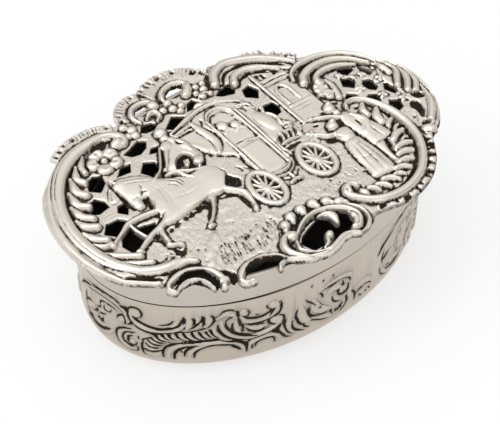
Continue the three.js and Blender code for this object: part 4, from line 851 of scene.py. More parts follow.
def ground_work(f, rng):
    """Grass, stipple and low mounds worked on the ground of the scene."""
    for _ in range(210):
        x, y = rng.uniform(-28, -9), rng.uniform(-26, -19.8)
        s = rng.uniform(1.0, 2.2)
        f.cut([(x, y), (x + rng.uniform(0.1, 0.35) * s, y + s)], 0.42, rng.uniform(0.02, 0.1), ends=(1, 0.3),
            ink_and_shade=rng.uniform(0.2, 0.75))
    for _ in range(110):
        x, y = rng.uniform(8, 22), rng.uniform(-21.4, -18)
        f.cut([(x, y), (x + rng.uniform(-0.2, 0.4), y + rng.uniform(0.3, 0.9))], 0.28,
            rng.uniform(0.05, 0.22))
    for x, y, s in [(-26, -17.6, 1.8), (-28.4, -19.6, 1.5), (-24.6, -15.8, 1.2), (-21, -18.2, 1.4),
            (-30, -22, 1.0), (-15, -21, 1.6)]:
        f.bump((x, y), s * 1.8, s, 0.35, 35, solid=False, blend=0.25, power=1.0)
    mottle = blur(rng.normal(0, 1, f.h.shape), 1) + 3 * blur(rng.normal(0, 1, f.h.shape), 3)
    f.h += 0.19 * mottle * (0.35 + 0.65 * ease((3 - f.Y) / 4))


# Finish of the lid: shares of crispness and softness, unevenness, and how far the relief is worn down
CRISPNESS, SOFTNESS, UNEVENNESS, RELIEF_LEFT = 0.5, 0.4, 0.11, 0.85
# Edges: a small lip everywhere, and plain edges rolled down to the sheet
LIP_WIDTH, LIP_DROP = 0.45, 0.35
ROLL_WIDTH, ROLL_LOW, NEAR_HOLE = 0.5, 0.33, 0.7
# Pits in the deep floors, and the least height of the sheet
PIT_LEVEL, PIT_FADE, PIT_DEPTH, LEAST_HEIGHT = 0.8, 0.3, 0.35, 0.32
# Oxide: hollows as hollow_dark takes them, then how it is worn in patches
LID_HOLLOWS = [(1, 0.018, 0.1, 0.85), (3, 0.1, 0.28, 0.9), (6, 0.26, 0.5, 0.75)]
PATCH_MEAN, PATCH_SPREAD, PATCH_RANGE = 1.05, 0.45, (0.35, 1.5)
# Oxide on deep floors, on the frills, and rubbed off at the edges; painted shade on the low front edge, for
# the shadow under the front arches
FLOOR_LEVEL, FLOOR_FADE = 0.74, 0.22
FRILL_DARK, FRILL_REACH = 0.24, 0.15
RUBBED_EDGE = 0.3
FRONT_SHADE_PAINTED, FRONT_Y, FRONT_RUN, FRONT_LEVEL, FRONT_FADE = 0.6, -6, 8, 1.3, 0.5
# Heights that count as plain ground
GROUND_BAND = 0.3


def wear_lid(f, rng):
    """Rounded edges, and a worn softness over everything."""
    f.h += CRISPNESS * (f.h - blur(f.h, 2))
    f.h = SOFTNESS * blur(f.h, 1) + (1 - SOFTNESS) * f.h
    f.h += UNEVENNESS * blur(rng.normal(0, 1, f.h.shape), 2)
    f.h = np.where(f.h > GROUND, GROUND + RELIEF_LEFT * (f.h - GROUND), f.h)
    f.h -= LIP_DROP * (1 - quarter_round(-f.edge / LIP_WIDTH))
    rolled = ROLL_LOW + (f.h - ROLL_LOW) * quarter_round(-f.edge / ROLL_WIDTH)
    f.plain_edge = (f.hole < -NEAR_HOLE) & (f.flange < 0)
    f.h = np.where(f.plain_edge, rolled, f.h)
    f.h += PIT_DEPTH * ramp(f.h, PIT_LEVEL, -PIT_FADE) * blur(rng.normal(0, 1, f.h.shape), 1)
    f.h = np.maximum(f.h, LEAST_HEIGHT)


def darken_lid(f, rng):
    """Oxide left in creases, hollows and deep floors, rubbed off in patches and at the edges; painted shade
    from the ink and under the low front edge.
    """
    patches = blur(rng.normal(0, 1, f.h.shape), 6)
    wear = np.clip(PATCH_MEAN + PATCH_SPREAD * patches / patches.std(), *PATCH_RANGE)
    f.oxide = wear * hollow_dark(f.h, LID_HOLLOWS)
    f.oxide += ramp(f.h, FLOOR_LEVEL, -FLOOR_FADE) * (f.edge < -LIP_WIDTH)
    flange = GROUND + RELIEF_LEFT * (f.flange - GROUND)
    f.oxide += FRILL_DARK * np.clip(1.5 - np.abs(f.h - flange) / FRILL_REACH, 0, 1)
    # Ink: oxide in lines and painted shade; where it lies, the edge keeps its dark
    f.ink_and_shade = np.clip(f.ink_and_shade, 0, 1)
    rubbed = np.maximum(ease(-f.edge / RUBBED_EDGE), f.ink_and_shade)
    f.oxide = np.clip(f.oxide + f.ink_and_shade, 0, 1) * np.where(f.hole < -NEAR_HOLE, rubbed, 1)
    # Painted shade on the low faces of the front edge, for the shadow under the front arches
    front = FRONT_SHADE_PAINTED * f.plain_edge * ease((FRONT_Y - f.Y) / FRONT_RUN)
    f.oxide += front * ramp(f.h, FRONT_LEVEL, -FRONT_FADE) * (f.edge > -NEAR_HOLE)
    f.plain = blur(np.clip(1 - np.abs(f.h - GROUND) / GROUND_BAND, 0, 1), 2)


def lid_relief():
    rng = np.random.default_rng(11)
    f = Relief((-59, 60), (-41, 46), LID_STEP, GROUND)
    # Slow waves left by the hammer
    f.h += 0.05 * np.sin(f.X * 0.31 + 1) * np.sin(f.Y * 0.27)
    f.edge = loop_distance(smooth_line(OUTLINE, True, LOOP_SPACING), f.X, f.Y)
    for hole in HOLES:
        f.pierce(hole)
    ground_work(f, rng)
    blossom(f)
    lattice_flowers(f)
    house(f)
    foliage(f, rng)
    horse(f)
    driver(f)
    coach(f)
    wheel(f, -3, -10.2, 4.7, 7.2, 12)
    wheel(f, 14.2, -9.7, 4.9, 7.1, 12)
    couple(f)
    edge_scrolls(f, rng)
    wear_lid(f, rng)
    darken_lid(f, rng)
    return f


# The body's chased band, drawn once over a third of the wall: s along the wall, t down from the seam
def ellipse_table(a, b, n=4096):
    """Angles round an ellipse, and the run along it up to each."""
    t = np.linspace(0, 2 * math.pi, n)
    x, y = a * np.cos(t), b * np.sin(t)
    run = np.concatenate([[0], np.cumsum(np.hypot(np.diff(x), np.diff(y)))])
    return t, run


ANGLES, RUN = ellipse_table(HALF_LENGTH, HALF_WIDTH)
UNIT = RUN[-1] / 3
UNIT_START, UNIT_DEPTH = -78.0, 31
# Chased lines: share of the named width that is dark, least width, depth, and the soft dark beside them,
# partly oxide and partly painted shade for the sides of the raised forms
CHASE_SHARE, CHASE_LEAST, CHASE_DEPTH = 0.4, 0.06, 0.22
HALO_OXIDE_AND_SHADE, HALO_REACH = 0.3, 0.55
# Oxide of the band: hollows as hollow_dark takes them, then an uneven film between the raised forms
WALL_HOLLOWS = [(1, 0.015, 0.05, 0.4), (4, 0.04, 0.2, 0.4)]
BUSY_HEIGHT, LOW_HEIGHT = 0.1, 0.25
FILM_MEAN, FILM_SPREAD, FILM_RANGE = 0.2, 0.06, (0.05, 0.35)


def wall_relief():
    """One third of the wall: low swelling forms, then the dark tapered strokes that draw them."""
    f = Relief((UNIT_START, UNIT_START + UNIT), (0, UNIT_DEPTH), WALL_STEP, 0.0)
    f.oxide = np.zeros(f.h.shape)

    def rise(width, points, height=0.46):
        f.stroke(points, width + 0.3, height, solid=False, power=1.0)

    def ball(x, t, r, height=0.45):
        f.bump((x, t), r, r, height, solid=False)

    def chase(width, points, ends=(0.4, 0.4)):
        line = smooth_line(points)
        win, d, at = f.trace(line, width + 1)
        swell = taper(len(line), ends)[at]
        half = (CHASE_SHARE * width + CHASE_LEAST) * swell
        mark = np.exp(-(d / half) ** 4)
        # Soft dark beside each line: partly oxide, partly painted shade for the sides of the raised forms
        halo = HALO_OXIDE_AND_SHADE * np.exp(-(d / (half + HALO_REACH)) ** 2)
        f.h[win] -= CHASE_DEPTH * swell * mark
        f.oxide[win] = np.maximum(f.oxide[win], np.maximum(mark, halo))

    flower_panel(rise, ball, chase)
    long_scroll(rise, ball, chase)
    fluted_fan(rise, chase)
    foot_arches(rise, chase)
    nested_scrolls(rise, ball, chase)
    volutes(rise, ball, chase)
    f.h = (f.h + blur(f.h, 1)) / 2
    f.oxide += hollow_dark(f.h, WALL_HOLLOWS)
    busy = np.clip(blur(np.maximum(f.h, 0), 6) / BUSY_HEIGHT, 0, 1)
    low = 1 - np.clip(f.h / LOW_HEIGHT, 0, 1)
    patches = blur(np.random.default_rng(5).normal(0, 1, f.h.shape), 4)
    f.oxide += busy * low * np.clip(FILM_MEAN + FILM_SPREAD * patches / patches.std(), *FILM_RANGE)
    f.oxide = np.clip(f.oxide, 0, 1)
    return f


def flower_panel(rise, ball, chase):
    rise(1.7, [(-76.4, 9.6), (-73, 5.9), (-69, 4.1), (-64.5, 3.4), (-60.8, 4), (-58.8, 5.6), (-57.9, 8),
        (-57.6, 10.4)])
    rise(1.4, [(-74.6, 14), (-73.8, 16.6), (-71.4, 18.6), (-67.6, 19), (-64.4, 17.8), (-62.6, 16)])
    rise(2.0, [(-72.8, 12.6), (-71, 12.4), (-69.6, 11.2)])
    rise(1.6, [(-69, 15.4), (-67, 16.2), (-65.2, 15.8)])
    rise(1.5, [(-66.4, 11), (-65.4, 10.2), (-64.8, 9.6)])
    ball(-63.8, 8, 1.2)
    ball(-59.5, 9.4, 1.1)
    ball(-69.6, 12.2, 1.0)
    ball(-66.9, 13.4, 0.9)
    chase(0.75, [(-76.2, 8.8), (-74, 6.3), (-71.6, 4.7), (-69.6, 3.8)])
    chase(0.35, [(-69, 3.4), (-66, 2.7), (-62, 2.7), (-59.8, 3.6)])
    chase(0.7, [(-59.6, 4), (-58.3, 4.8), (-57.6, 6)])
    chase(0.6, [(-71.4, 5.8), (-68, 4.8), (-64.5, 4.3), (-61.5, 4.8), (-59.6, 5.8), (-58.6, 7.2),
        (-58.2, 8.8)])
    chase(0.9, [(-73.3, 9.2), (-73.9, 11.4), (-74, 13.8)])
    chase(0.7, [(-73.8, 12.8), (-72.4, 11.6), (-71.2, 11)])
    chase(0.5, [(-72.4, 17.4), (-69, 18.3), (-66, 17.8), (-63.8, 16.2)])
    chase(0.4, [(-75, 14.8), (-74.6, 17), (-73, 18.8), (-70, 19.6), (-66.6, 19.4)])
    chase(0.6, [(-66.8, 8.8), (-66.6, 7.6), (-65.6, 6.8), (-64.4, 6.4)])
    chase(0.4, [(-65, 7.8), (-65.2, 9), (-64.4, 9.5), (-63.2, 9.2), (-62.6, 8)])
    chase(0.35, [(-64.4, 6.4), (-62.6, 6.6), (-60.8, 7.2)])
    chase(0.6, [(-60.9, 9.6), (-60.2, 8.4), (-59, 7.7), (-58.5, 8.6)])
    chase(0.4, [(-58.4, 8.8), (-58.2, 10), (-58.7, 11.2)])
    chase(0.7, [(-70.8, 13.4), (-69.4, 13.2), (-68.4, 12.4), (-67.9, 11.4)])
    chase(0.45, [(-67.5, 12.3), (-66, 12), (-64.9, 11.3)])
    chase(0.45, [(-67.6, 12.7), (-67, 13.6), (-67.5, 14.6)])
    chase(0.5, [(-66.1, 13.6), (-66.5, 15.4)])
    chase(0.45, [(-68.3, 10.7), (-67, 10), (-66.5, 8.8)])
    chase(0.6, [(-71.6, 16.4), (-70.4, 17.1)])


def long_scroll(rise, ball, chase):
    """C-scroll with a ball head and leaf tips, and the small C below its head."""
    rise(1.5, [(-56.8, 6), (-56, 8.2), (-53.4, 9.9), (-50, 10.4), (-47, 10), (-44, 8.8), (-42.4, 7)])
    ball(-55.4, 4.9, 1.8)
    rise(1.9, [(-41.8, 9.2), (-41, 7), (-41.4, 4.6)])
    rise(1.5, [(-39.4, 8.6), (-38.7, 6.6), (-39, 4.8)])
    rise(1.9, [(-37, 8.2), (-36.2, 6), (-36.5, 4.2)])
    rise(1.3, [(-46.6, 8), (-45, 7.2), (-44.2, 5.8)])
    rise(1.7, [(-56.4, 12.4), (-59.2, 13.4), (-60.3, 16), (-59.6, 18.6), (-57.4, 19.8), (-55.8, 19.4)])
    rise(1.1, [(-56, 13.8), (-58.2, 14.6), (-58.6, 16.4), (-57.6, 17.8)])
    ball(-56.7, 16.9, 0.8)
    chase(0.45, [(-57.5, 6), (-57.1, 4), (-55.8, 3.1), (-54.2, 3.4), (-53.5, 4.8), (-53.9, 6.2)], (0.8, 0.5))
    chase(0.9, [(-58.2, 3.8), (-57.7, 4.8), (-57.6, 5.8)], (0.3, 0.6))
    chase(0.5, [(-57.7, 5.8), (-57.3, 7.6), (-56.5, 8.8)])
    chase(0.75, [(-55.8, 6.2), (-54.8, 7.6), (-53, 8.7), (-51, 9.3), (-49, 9.5), (-47, 9.1), (-45, 8.2),
        (-43.6, 6.8), (-43, 5)])
    chase(0.5, [(-57, 8), (-56, 9.6), (-54, 10.8), (-52, 11.2), (-50, 11), (-48, 10.7), (-45, 10.2),
        (-41.6, 10)])
    chase(0.7, [(-57.7, 10.6), (-56.7, 9.8), (-56.2, 8.6)])
    chase(0.4, [(-56.2, 10.2), (-53.6, 11.4), (-50.8, 11.9)])
    chase(0.45, [(-45.4, 5.8), (-46, 6.8), (-47.2, 7.6), (-49.2, 8.1)])
    chase(0.9, [(-42.7, 4.2), (-42.5, 5.4), (-42.8, 6.8)], (0.5, 0.3))
    chase(0.4, [(-40.1, 4.4), (-40, 5.8), (-40.4, 7.2)])
    chase(0.9, [(-37.9, 4), (-37.6, 5.2), (-38, 6)], (0.5, 0.5))
    chase(0.75, [(-38.2, 5.4), (-39.6, 7.4), (-41.6, 8.8)], (0.6, 0.1))
    chase(0.4, [(-37.4, 5.8), (-37.1, 7.2)])
    chase(0.75, [(-35.4, 3.8), (-34.8, 5.4), (-35.2, 6.8), (-36.4, 8.4)])
    chase(0.4, [(-42, 10), (-39, 9.4), (-35.8, 8)])
    chase(0.6, [(-56.8, 12), (-59, 12.6), (-60.8, 14), (-61.5, 16), (-61, 18.2), (-59.6, 19.8), (-57.8, 20.6),
        (-55.8, 20.3)])
    chase(0.65, [(-55.8, 12.9), (-58, 13.6), (-59.1, 15), (-59.3, 16.8), (-58.6, 18), (-57.2, 18.5),
        (-55.8, 18), (-55.3, 16.8)])
    chase(0.45, [(-56.6, 14), (-57.8, 15.2), (-57.9, 16.8), (-57.2, 17.8)])
    chase(0.4, [(-55.6, 18), (-55.1, 19.2), (-55.5, 20.4)])
    chase(0.4, [(-54.8, 14), (-54.9, 15.4)])


def fluted_fan(rise, chase):
    flutes = [
        [(-53.4, 18.6), (-51.4, 18.8), (-49.4, 18.2), (-48.2, 17.4)],
        [(-52.9, 16.2), (-51.6, 17), (-50, 17), (-48.8, 16.5)],
        [(-52.3, 14.7), (-51, 15.6), (-49.6, 15.8), (-47.8, 15.3)],
        [(-51.5, 13.5), (-50.4, 14.2), (-49, 14.6), (-47.4, 14.6)],
        [(-50.2, 12.3), (-49.4, 13.2), (-48.2, 13.8), (-46.6, 14)],
        [(-48.6, 11.4), (-47.6, 12.6), (-46, 13.3)],
        [(-46.9, 11), (-46.2, 12.2), (-44.7, 13.1)], [(-44.9, 10.6), (-44.3, 11.8), (-42.9, 12.9)],
        [(-42.9, 10.4), (-42.5, 11.4), (-41.6, 12.4), (-40.7, 13)],
        [(-40.7, 10.2), (-40.4, 11.2), (-39.6, 12.2), (-38.5, 13)],
        [(-38.9, 10.2), (-38.2, 11.4), (-37.2, 12.6)], [(-37.1, 10.2), (-36.4, 11.2), (-35.6, 12)],
        [(-36.1, 9.6), (-35, 11.4), (-33.4, 13)],
    ]
    for a, b in zip(flutes, flutes[1:]):
        rise(1.25, [(np.array(a[0]) + b[0]) / 2 + (0.3, 0.2), (np.array(a[1]) + b[1]) / 2,
            (np.array(a[-1]) + b[-1]) / 2])
    rise(1.5, [(-53.2, 19.8), (-51.4, 19.9), (-49, 19.2)])
    for line in flutes:
        chase(0.6, line, (0.9, 0.2))
    chase(0.75, [(-53.3, 14.6), (-53.9, 16.6), (-54, 18.6), (-53.4, 20.4), (-51.8, 21)], (0.4, 0.2))
    chase(0.5, [(-54.2, 15.2), (-52.6, 14.2), (-51.2, 13.4)])


def foot_arches(rise, chase):
    rise(1.6, [(-47, 20.4), (-46.6, 17.8), (-44.6, 15.7), (-41, 14.7), (-36, 14.6), (-32, 14.9), (-29, 15.9),
        (-27.4, 17.8), (-27, 20.4)])
    rise(1.2, [(-41.6, 20), (-41, 17.8), (-39.2, 16.2), (-36, 15.2)])
    rise(1.6, [(-25.6, 19.6), (-25, 17), (-22.8, 15.9), (-20, 15.7), (-18, 16.6), (-17, 18.8)])
    chase(0.65, [(-48.3, 20.6), (-48.3, 18), (-47.4, 16.2), (-45.6, 15), (-43.2, 14.3)], (0.5, 0.2))
    chase(0.45, [(-43.4, 14.4), (-40, 14), (-36, 13.6), (-33, 13.8)])
    chase(1.0, [(-45.5, 21), (-45.2, 18.6), (-44, 16.9), (-42.4, 15.8), (-39.8, 14.8)], (0.7, 0.1))
    chase(0.7, [(-42.8, 19.6), (-42.4, 17.6), (-41.2, 16.2), (-39, 14.9)], (0.6, 0.1))
    chase(0.4, [(-44, 17.2), (-43.2, 18.2)])
    chase(0.8, [(-40.3, 20.4), (-40, 18.4), (-39, 17), (-37.2, 16), (-35, 15.6), (-33, 15.8), (-31, 16.3),
        (-29.6, 17.2), (-28.3, 18.8)], (0.6, 0.6))
    chase(1.0, [(-30.4, 17.2), (-29.2, 17.8), (-28.1, 18.9)], (0.3, 0.6))
    chase(0.85, [(-33, 14), (-31, 14.6), (-29, 15.2), (-27.4, 16.4), (-26.5, 18), (-26.4, 20.6)], (0.3, 0.4))
    chase(1.1, [(-27.4, 15.9), (-26.6, 17), (-26.4, 18.6)])
    chase(0.6, [(-32.4, 12.6), (-30.8, 13.4), (-28.6, 14.4), (-26.4, 15.2), (-25, 15.7)])
    chase(0.55, [(-25, 17.6), (-24.9, 19.6)])
    chase(0.6, [(-24.1, 19), (-23.6, 17.6), (-22.4, 16.9), (-20.8, 16.7), (-19.4, 17.2), (-18.8, 18),
        (-18.6, 19.2)], (0.6, 0.8))
    chase(0.5, [(-26.3, 18.6), (-26, 16.4), (-24.6, 15.3), (-22, 14.8), (-19.6, 14.8)])
    chase(0.6, [(-19.4, 15), (-17.4, 16.2), (-16.4, 17.6), (-15.6, 18.8), (-13.8, 19.7)])
    chase(0.9, [(-19.8, 14.7), (-18.2, 14.9), (-17.2, 13.8)])


def nested_scrolls(rise, ball, chase):
    rise(1.2, [(-35, 9), (-34.5, 11), (-33, 12.9), (-30.4, 14.4)])
    rise(1.7, [(-33, 7), (-32.6, 9.8), (-31, 12), (-28.4, 13.6), (-25, 14.6), (-21, 14), (-18, 12.6),
        (-16.8, 11.2)])
    rise(2.2, [(-34, 5.4), (-32.4, 4), (-30.2, 4.2), (-29.4, 6)])
    rise(1.3, [(-29.3, 7.4), (-29.1, 10.2), (-28.2, 11.8)])
    rise(1.6, [(-28, 6), (-26.4, 8), (-23.4, 8.6), (-20.4, 8.3), (-18.4, 7), (-17.9, 4.8)])
    rise(1.8, [(-26, 10.6), (-23.6, 11.6), (-21.4, 11.4)])
    ball(-27, 4.6, 1.3)
    ball(-19, 4.5, 1.4)
    ball(-18.3, 10.5, 1.7)
    chase(0.9, [(-34, 8), (-33.6, 10), (-32.6, 11.8), (-31, 13.4), (-28.8, 14.7)])
    chase(0.75, [(-31.7, 6.4), (-31.9, 8.2), (-31.2, 10), (-30, 11.6), (-28, 12.9), (-25.6, 13.9),
        (-23.6, 14.4)])
    chase(0.4, [(-31.8, 6.8), (-30.8, 5.9), (-29.8, 5.3)])
    chase(0.55, [(-30.1, 8.2), (-30.2, 9.6), (-29.8, 11.4)])
    chase(1.0, [(-28.9, 3.8), (-28.8, 4.6), (-28.6, 5.8)], (0.7, 0.3))
    chase(0.7, [(-28.6, 5.8), (-28.3, 7.6), (-28, 9), (-27.4, 9.8), (-27.4, 11.6)])
    chase(0.35, [(-34.2, 4.8), (-32.4, 3), (-30.4, 2.8), (-29, 3.8)])
    chase(0.6, [(-27.3, 5.6), (-26.4, 6.8), (-25, 7.4), (-23, 7.7), (-21.4, 7.4), (-20.2, 6.6), (-19.9, 5.6)])
    chase(0.35, [(-26.2, 4), (-25.7, 5), (-26, 6.2)])
    chase(0.3, [(-24, 6.4), (-22.9, 6.8)])
    chase(0.35, [(-21, 4), (-20.8, 4.9), (-20.2, 5.6)])
    chase(0.45, [(-18.8, 5.6), (-19.2, 6.8), (-20.4, 8.1)])
    chase(0.7, [(-17, 4), (-16.8, 5.8), (-17, 7.4), (-17.8, 8.6), (-19.4, 9.1)])
    chase(0.35, [(-27.6, 9), (-25, 9.8), (-22, 9.6), (-20.6, 9.2)])
    chase(0.6, [(-26.4, 10.8), (-25.6, 12), (-24.4, 12.7), (-22.6, 13)])
    chase(0.6, [(-20.6, 9.6), (-20.3, 10.8), (-19.6, 11.6), (-18.6, 12)])
    chase(0.55, [(-17.4, 9.2), (-16.2, 10), (-16, 11.4), (-16.6, 12.8), (-17.8, 14)])


def volutes(rise, ball, chase):
    rise(1.0, [(-16.7, 12.4), (-16.9, 14), (-16.2, 16), (-14.8, 18)])
    rise(1.6, [(-14.6, 12), (-14.8, 14.6), (-14, 16.8), (-12.2, 18.8)])
    rise(2.6, [(-11.2, 9.4), (-11, 12), (-10, 14.6), (-8.4, 16.6)], 0.55)
    rise(2.6, [(-7.4, 9), (-6.6, 12), (-4.6, 14.4), (-2, 15.6)], 0.55)
    rise(1.5, [(-7, 16.4), (-4, 17.6), (-0.6, 18.4), (2.6, 17.4), (3.2, 15.4)])
    rise(1.6, [(-4.4, 6.4), (-1, 5.6), (2.6, 6), (5, 7.4), (5.6, 9.6)])
    rise(2.2, [(-2.6, 9.4), (-0.6, 8.6), (1.4, 9.6)])
    rise(1.4, [(5.6, 12), (5, 14), (5.4, 16.6)])
    rise(2.0, [(7.8, 14.6), (9.6, 14), (11.6, 14.4), (13.4, 15.8)])
    ball(2.6, 11, 1.4)
    ball(10, 17.6, 1.3)
    chase(0.55, [(-15.5, 12), (-15.9, 13.8), (-15.6, 15.6), (-14.9, 17.2), (-13.4, 18.8)])
    chase(0.75, [(-13.5, 13.8), (-13.7, 15.6), (-13, 17.2), (-11.6, 18.4), (-10, 19.3)])
    chase(0.75, [(-12.3, 10.8), (-12.6, 12.6), (-12.2, 13.8), (-11.8, 15.2), (-11, 16.4), (-9.8, 17.6)])
    chase(0.75, [(-10.1, 16.6), (-9.8, 18), (-8.4, 18.9)])
    chase(0.55, [(-9.7, 7.4), (-9, 8.8), (-8, 9.6), (-6.8, 11)])
    chase(0.95, [(-8.8, 11.6), (-8.7, 13.4), (-8, 14.8), (-6.4, 15.7)])
    chase(0.7, [(-5.4, 7.6), (-4.6, 8.6), (-4.3, 9.8)])
    chase(0.7, [(-8.2, 16.4), (-6.6, 17.2), (-4.8, 18.3), (-2.6, 18.9)])
    chase(0.95, [(0.6, 10.4), (1, 12), (2, 13), (3.4, 13.1), (4.2, 12.2), (4.6, 10.2)])
    chase(0.7, [(-1.1, 11.6), (-0.8, 13.4), (0.2, 14.6), (1.8, 15.4)])
    chase(0.4, [(2.4, 7.8), (2.7, 9.8)])
    chase(0.5, [(-5.9, 12.5), (-4.8, 13.1)])
    chase(0.35, [(2.6, 11.2), (2.8, 12.6)])
    for x in (-0.2, 0.7, 1.6):
        chase(0.35, [(x, 18.3), (x + 0.4, 17.4)])
    chase(0.5, [(3.8, 7.4), (4.8, 8.4), (5.1, 9.9)])
    chase(0.4, [(-4.8, 7.4), (-2, 6.8), (1, 6.6), (3.6, 7.2)])
    chase(0.75, [(3.8, 15.2), (4.2, 17), (3.4, 18.2), (2, 19.5)])
    chase(0.9, [(5.8, 14.4), (7, 15.8), (7.3, 17.4), (7.1, 18.8)])
    chase(0.45, [(-1.5, 16.4), (-1.2, 18.2)])
    chase(0.45, [(-0.4, 17.9), (1.2, 17.6), (2.6, 16.6)])
    chase(0.4, [(7.4, 17.2), (8.6, 16.3), (10.2, 16)])
    chase(0.5, [(11, 15.7), (12.6, 16.2), (13.8, 17.4)])
    for x in (9, 11, 12.6):
        chase(0.65, [(x, 18.1), (x + 0.8, 19.3)])
    for x in (-8, -4.4, -1.2):
        chase(0.5, [(x, 3), (x + 0.2, 3.9)])


# Meshes: corners of cut cells keep this share away from the grid points
CELL_MARGIN = 0.02
# The lid sheet's least thickness, the oxide on its underside, and the painted shade on its sawn sides
SHEET_THICKNESS, UNDER_DARK, SIDE_SHADE_PAINTED = 0.3, 0.12, 0.5
# Points round the turned rings, and the stretch where the rim's inside is painted light behind the crest's
# eyes, in radians
TURNED_COUNT, EYES_ANGLE, EYES_SPREAD = 240, 1.75, 0.3
# Rows of the wall, measured down from the seam: the chased stretch and the length of the rounded foot
CHASED_FROM, CHASED_TO, FOOT_RUN, INNER_ROWS = 1.6, 21.6, 10.5, 14
# Where the chasing fades in and out down the wall, and over what length
FADE_IN, FADE_IN_RUN, FADE_OUT, FADE_OUT_RUN = 1.5, 1.0, 26.5, 2.0
# The dark of the lines is less at the front right: share lost, angle and spread in degrees
RIGHT_FADE_LOSS, RIGHT_FADE_ANGLE, RIGHT_FADE_SPREAD = 0.5, 312, 24


def new_object(body, nodes, mesh, material):
    """Piece with the mesh's name, riding on a body in place of its solids."""
    obj = bpy.data.objects.new(mesh.name, mesh)
    bpy.context.scene.collection.objects.link(obj)
    mesh.materials.append(material)
    mesh.polygons.foreach_set("use_smooth", np.ones(len(mesh.polygons), bool))
    mesh.set_sharp_from_angle(angle=SHARP_ANGLE)
    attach(obj, body)
    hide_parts(*nodes)
    return obj


def build_mesh(name, verts, groups, **values):
    """Mesh from points in millimetres, one array of faces for each number of corners, and point values."""
    mesh = bpy.data.meshes.new(name)
    mesh.vertices.add(len(verts))
    mesh.vertices.foreach_set("co", (np.asarray(verts, np.float32) * MM).ravel())
    groups = [np.asarray(g, np.int32) for g in groups if len(g)]
    sizes = np.concatenate([np.full(len(g), g.shape[1], np.int32) for g in groups])
    loops = np.concatenate([g.ravel() for g in groups])
    starts = np.concatenate([[0], np.cumsum(sizes)[:-1]]).astype(np.int32)
    mesh.loops.add(len(loops))
    mesh.loops.foreach_set("vertex_index", loops)
    mesh.polygons.add(len(sizes))
    mesh.polygons.foreach_set("loop_start", starts)
    mesh.polygons.foreach_set("loop_total", sizes)
    mesh.update(calc_edges=True)
    for key, value in values.items():
        data = mesh.attributes.new(key, "FLOAT", "POINT").data
        data.foreach_set("value", np.asarray(value, np.float32))
    mesh.validate()
    return mesh


def ring_quads(rings, count):
    """Faces of a closed tube of rings, each joined to the next and the last to the first."""
    i, j = np.arange(rings)[:, None], np.arange(count)[None, :]
    i2, j2 = (i + 1) % rings, (j + 1) % count
    corners = [i * count + j, i * count + j2, i2 * count + j2, i2 * count + j]
    return np.stack(corners, -1).reshape(-1, 4)


def cell_faces(inside):
    """Faces over the cells of a grid, and the sides where the edge of the sheet cuts them.

    Corners are numbered in three runs: the grid points, the cuts along x and the cuts along y."""
    ids = np.arange(inside.size).reshape(inside.shape)
    across, up = inside.size + ids, 2 * inside.size + ids
    spots = (np.s_[:-1, :-1], np.s_[1:, :-1], np.s_[1:, 1:], np.s_[:-1, 1:])
    parts = [ids[s] for s in spots]
    parts += [across[:-1, :-1], up[1:, :-1], across[:-1, 1:], up[:-1, :-1]]
    code = sum((inside[s] << k) for k, s in enumerate(spots))
    faces, sides = [], []
    for mask in range(1, 16):
        cells = code == mask
        if not cells.any():
            continue
        ring = []
        for k in range(4):
            here, there = mask >> k & 1, mask >> (k + 1) % 4 & 1
            if here:
                ring.append(k)
            if here != there:
                ring.append(4 + k)
        faces.append(np.stack([parts[k][cells] for k in ring], 1))
        for a, b in zip(ring, ring[1:] + ring[:1]):
            if a >= 4 and b >= 4:
                sides.append(np.stack([parts[a][cells], parts[b][cells]], 1))
    return faces, np.concatenate(sides)


def sheet_mesh(name, f, z0):
    """Closed sheet from a relief: its edge follows the outline and the piercings exactly."""
    nx, ny = f.X.shape
    faces, sides = cell_faces(f.edge < 0)
    used = np.unique(np.concatenate([g.ravel() for g in faces]))
    kind, flat = used // (nx * ny), used % (nx * ny)
    i, j = flat // ny, flat % ny
    i2, j2 = np.minimum(i + (kind == 1), nx - 1), np.minimum(j + (kind == 2), ny - 1)
    e0, e1 = f.edge[i, j], f.edge[i2, j2]
    cut = np.clip(e0 / np.where(e0 == e1, 1, e0 - e1), CELL_MARGIN, 1 - CELL_MARGIN)
    t = np.where(kind > 0, cut, 0)

    def mix(a):
        return a[i, j] * (1 - t) + a[i2, j2] * t

    hollow = np.clip(blur(f.h, 3) - GROUND, 0, None)
    x, y = mix(f.X), mix(f.Y)
    count = len(used)
    top = np.stack([x, y, z0 + mix(f.h)], 1)
    low = np.stack([x, y, z0 + mix(np.minimum(hollow, f.h - SHEET_THICKNESS))], 1)
    low[:, 2] = np.maximum(low[:, 2], z0)
    lookup = np.zeros(3 * nx * ny, np.int32)
    lookup[used] = np.arange(count)
    faces = [lookup[g] for g in faces]
    walls = lookup[sides]
    under = [g[:, ::-1] + count for g in faces]
    side = np.stack([walls[:, 1], walls[:, 0], walls[:, 0] + count, walls[:, 1] + count], 1)
    under_oxide_and_shade = np.full(count, UNDER_DARK)
    # Sawn sides: painted shade, fully dark under inked edges
    under_oxide_and_shade[walls.ravel()] = np.maximum(SIDE_SHADE_PAINTED, mix(f.ink_and_shade))[walls.ravel()]
    return build_mesh(name, np.vstack([top, low]), faces + under + [side],
                      oxide=np.concatenate([mix(f.oxide), under_oxide_and_shade]),
                      ground=np.concatenate([mix(f.plain), np.zeros(count)]))


def ring_points(inset, z, angles):
    return np.stack([(HALF_LENGTH - inset) * np.cos(angles), (HALF_WIDTH - inset) * np.sin(angles),
                     np.full(len(angles), z)], 1)


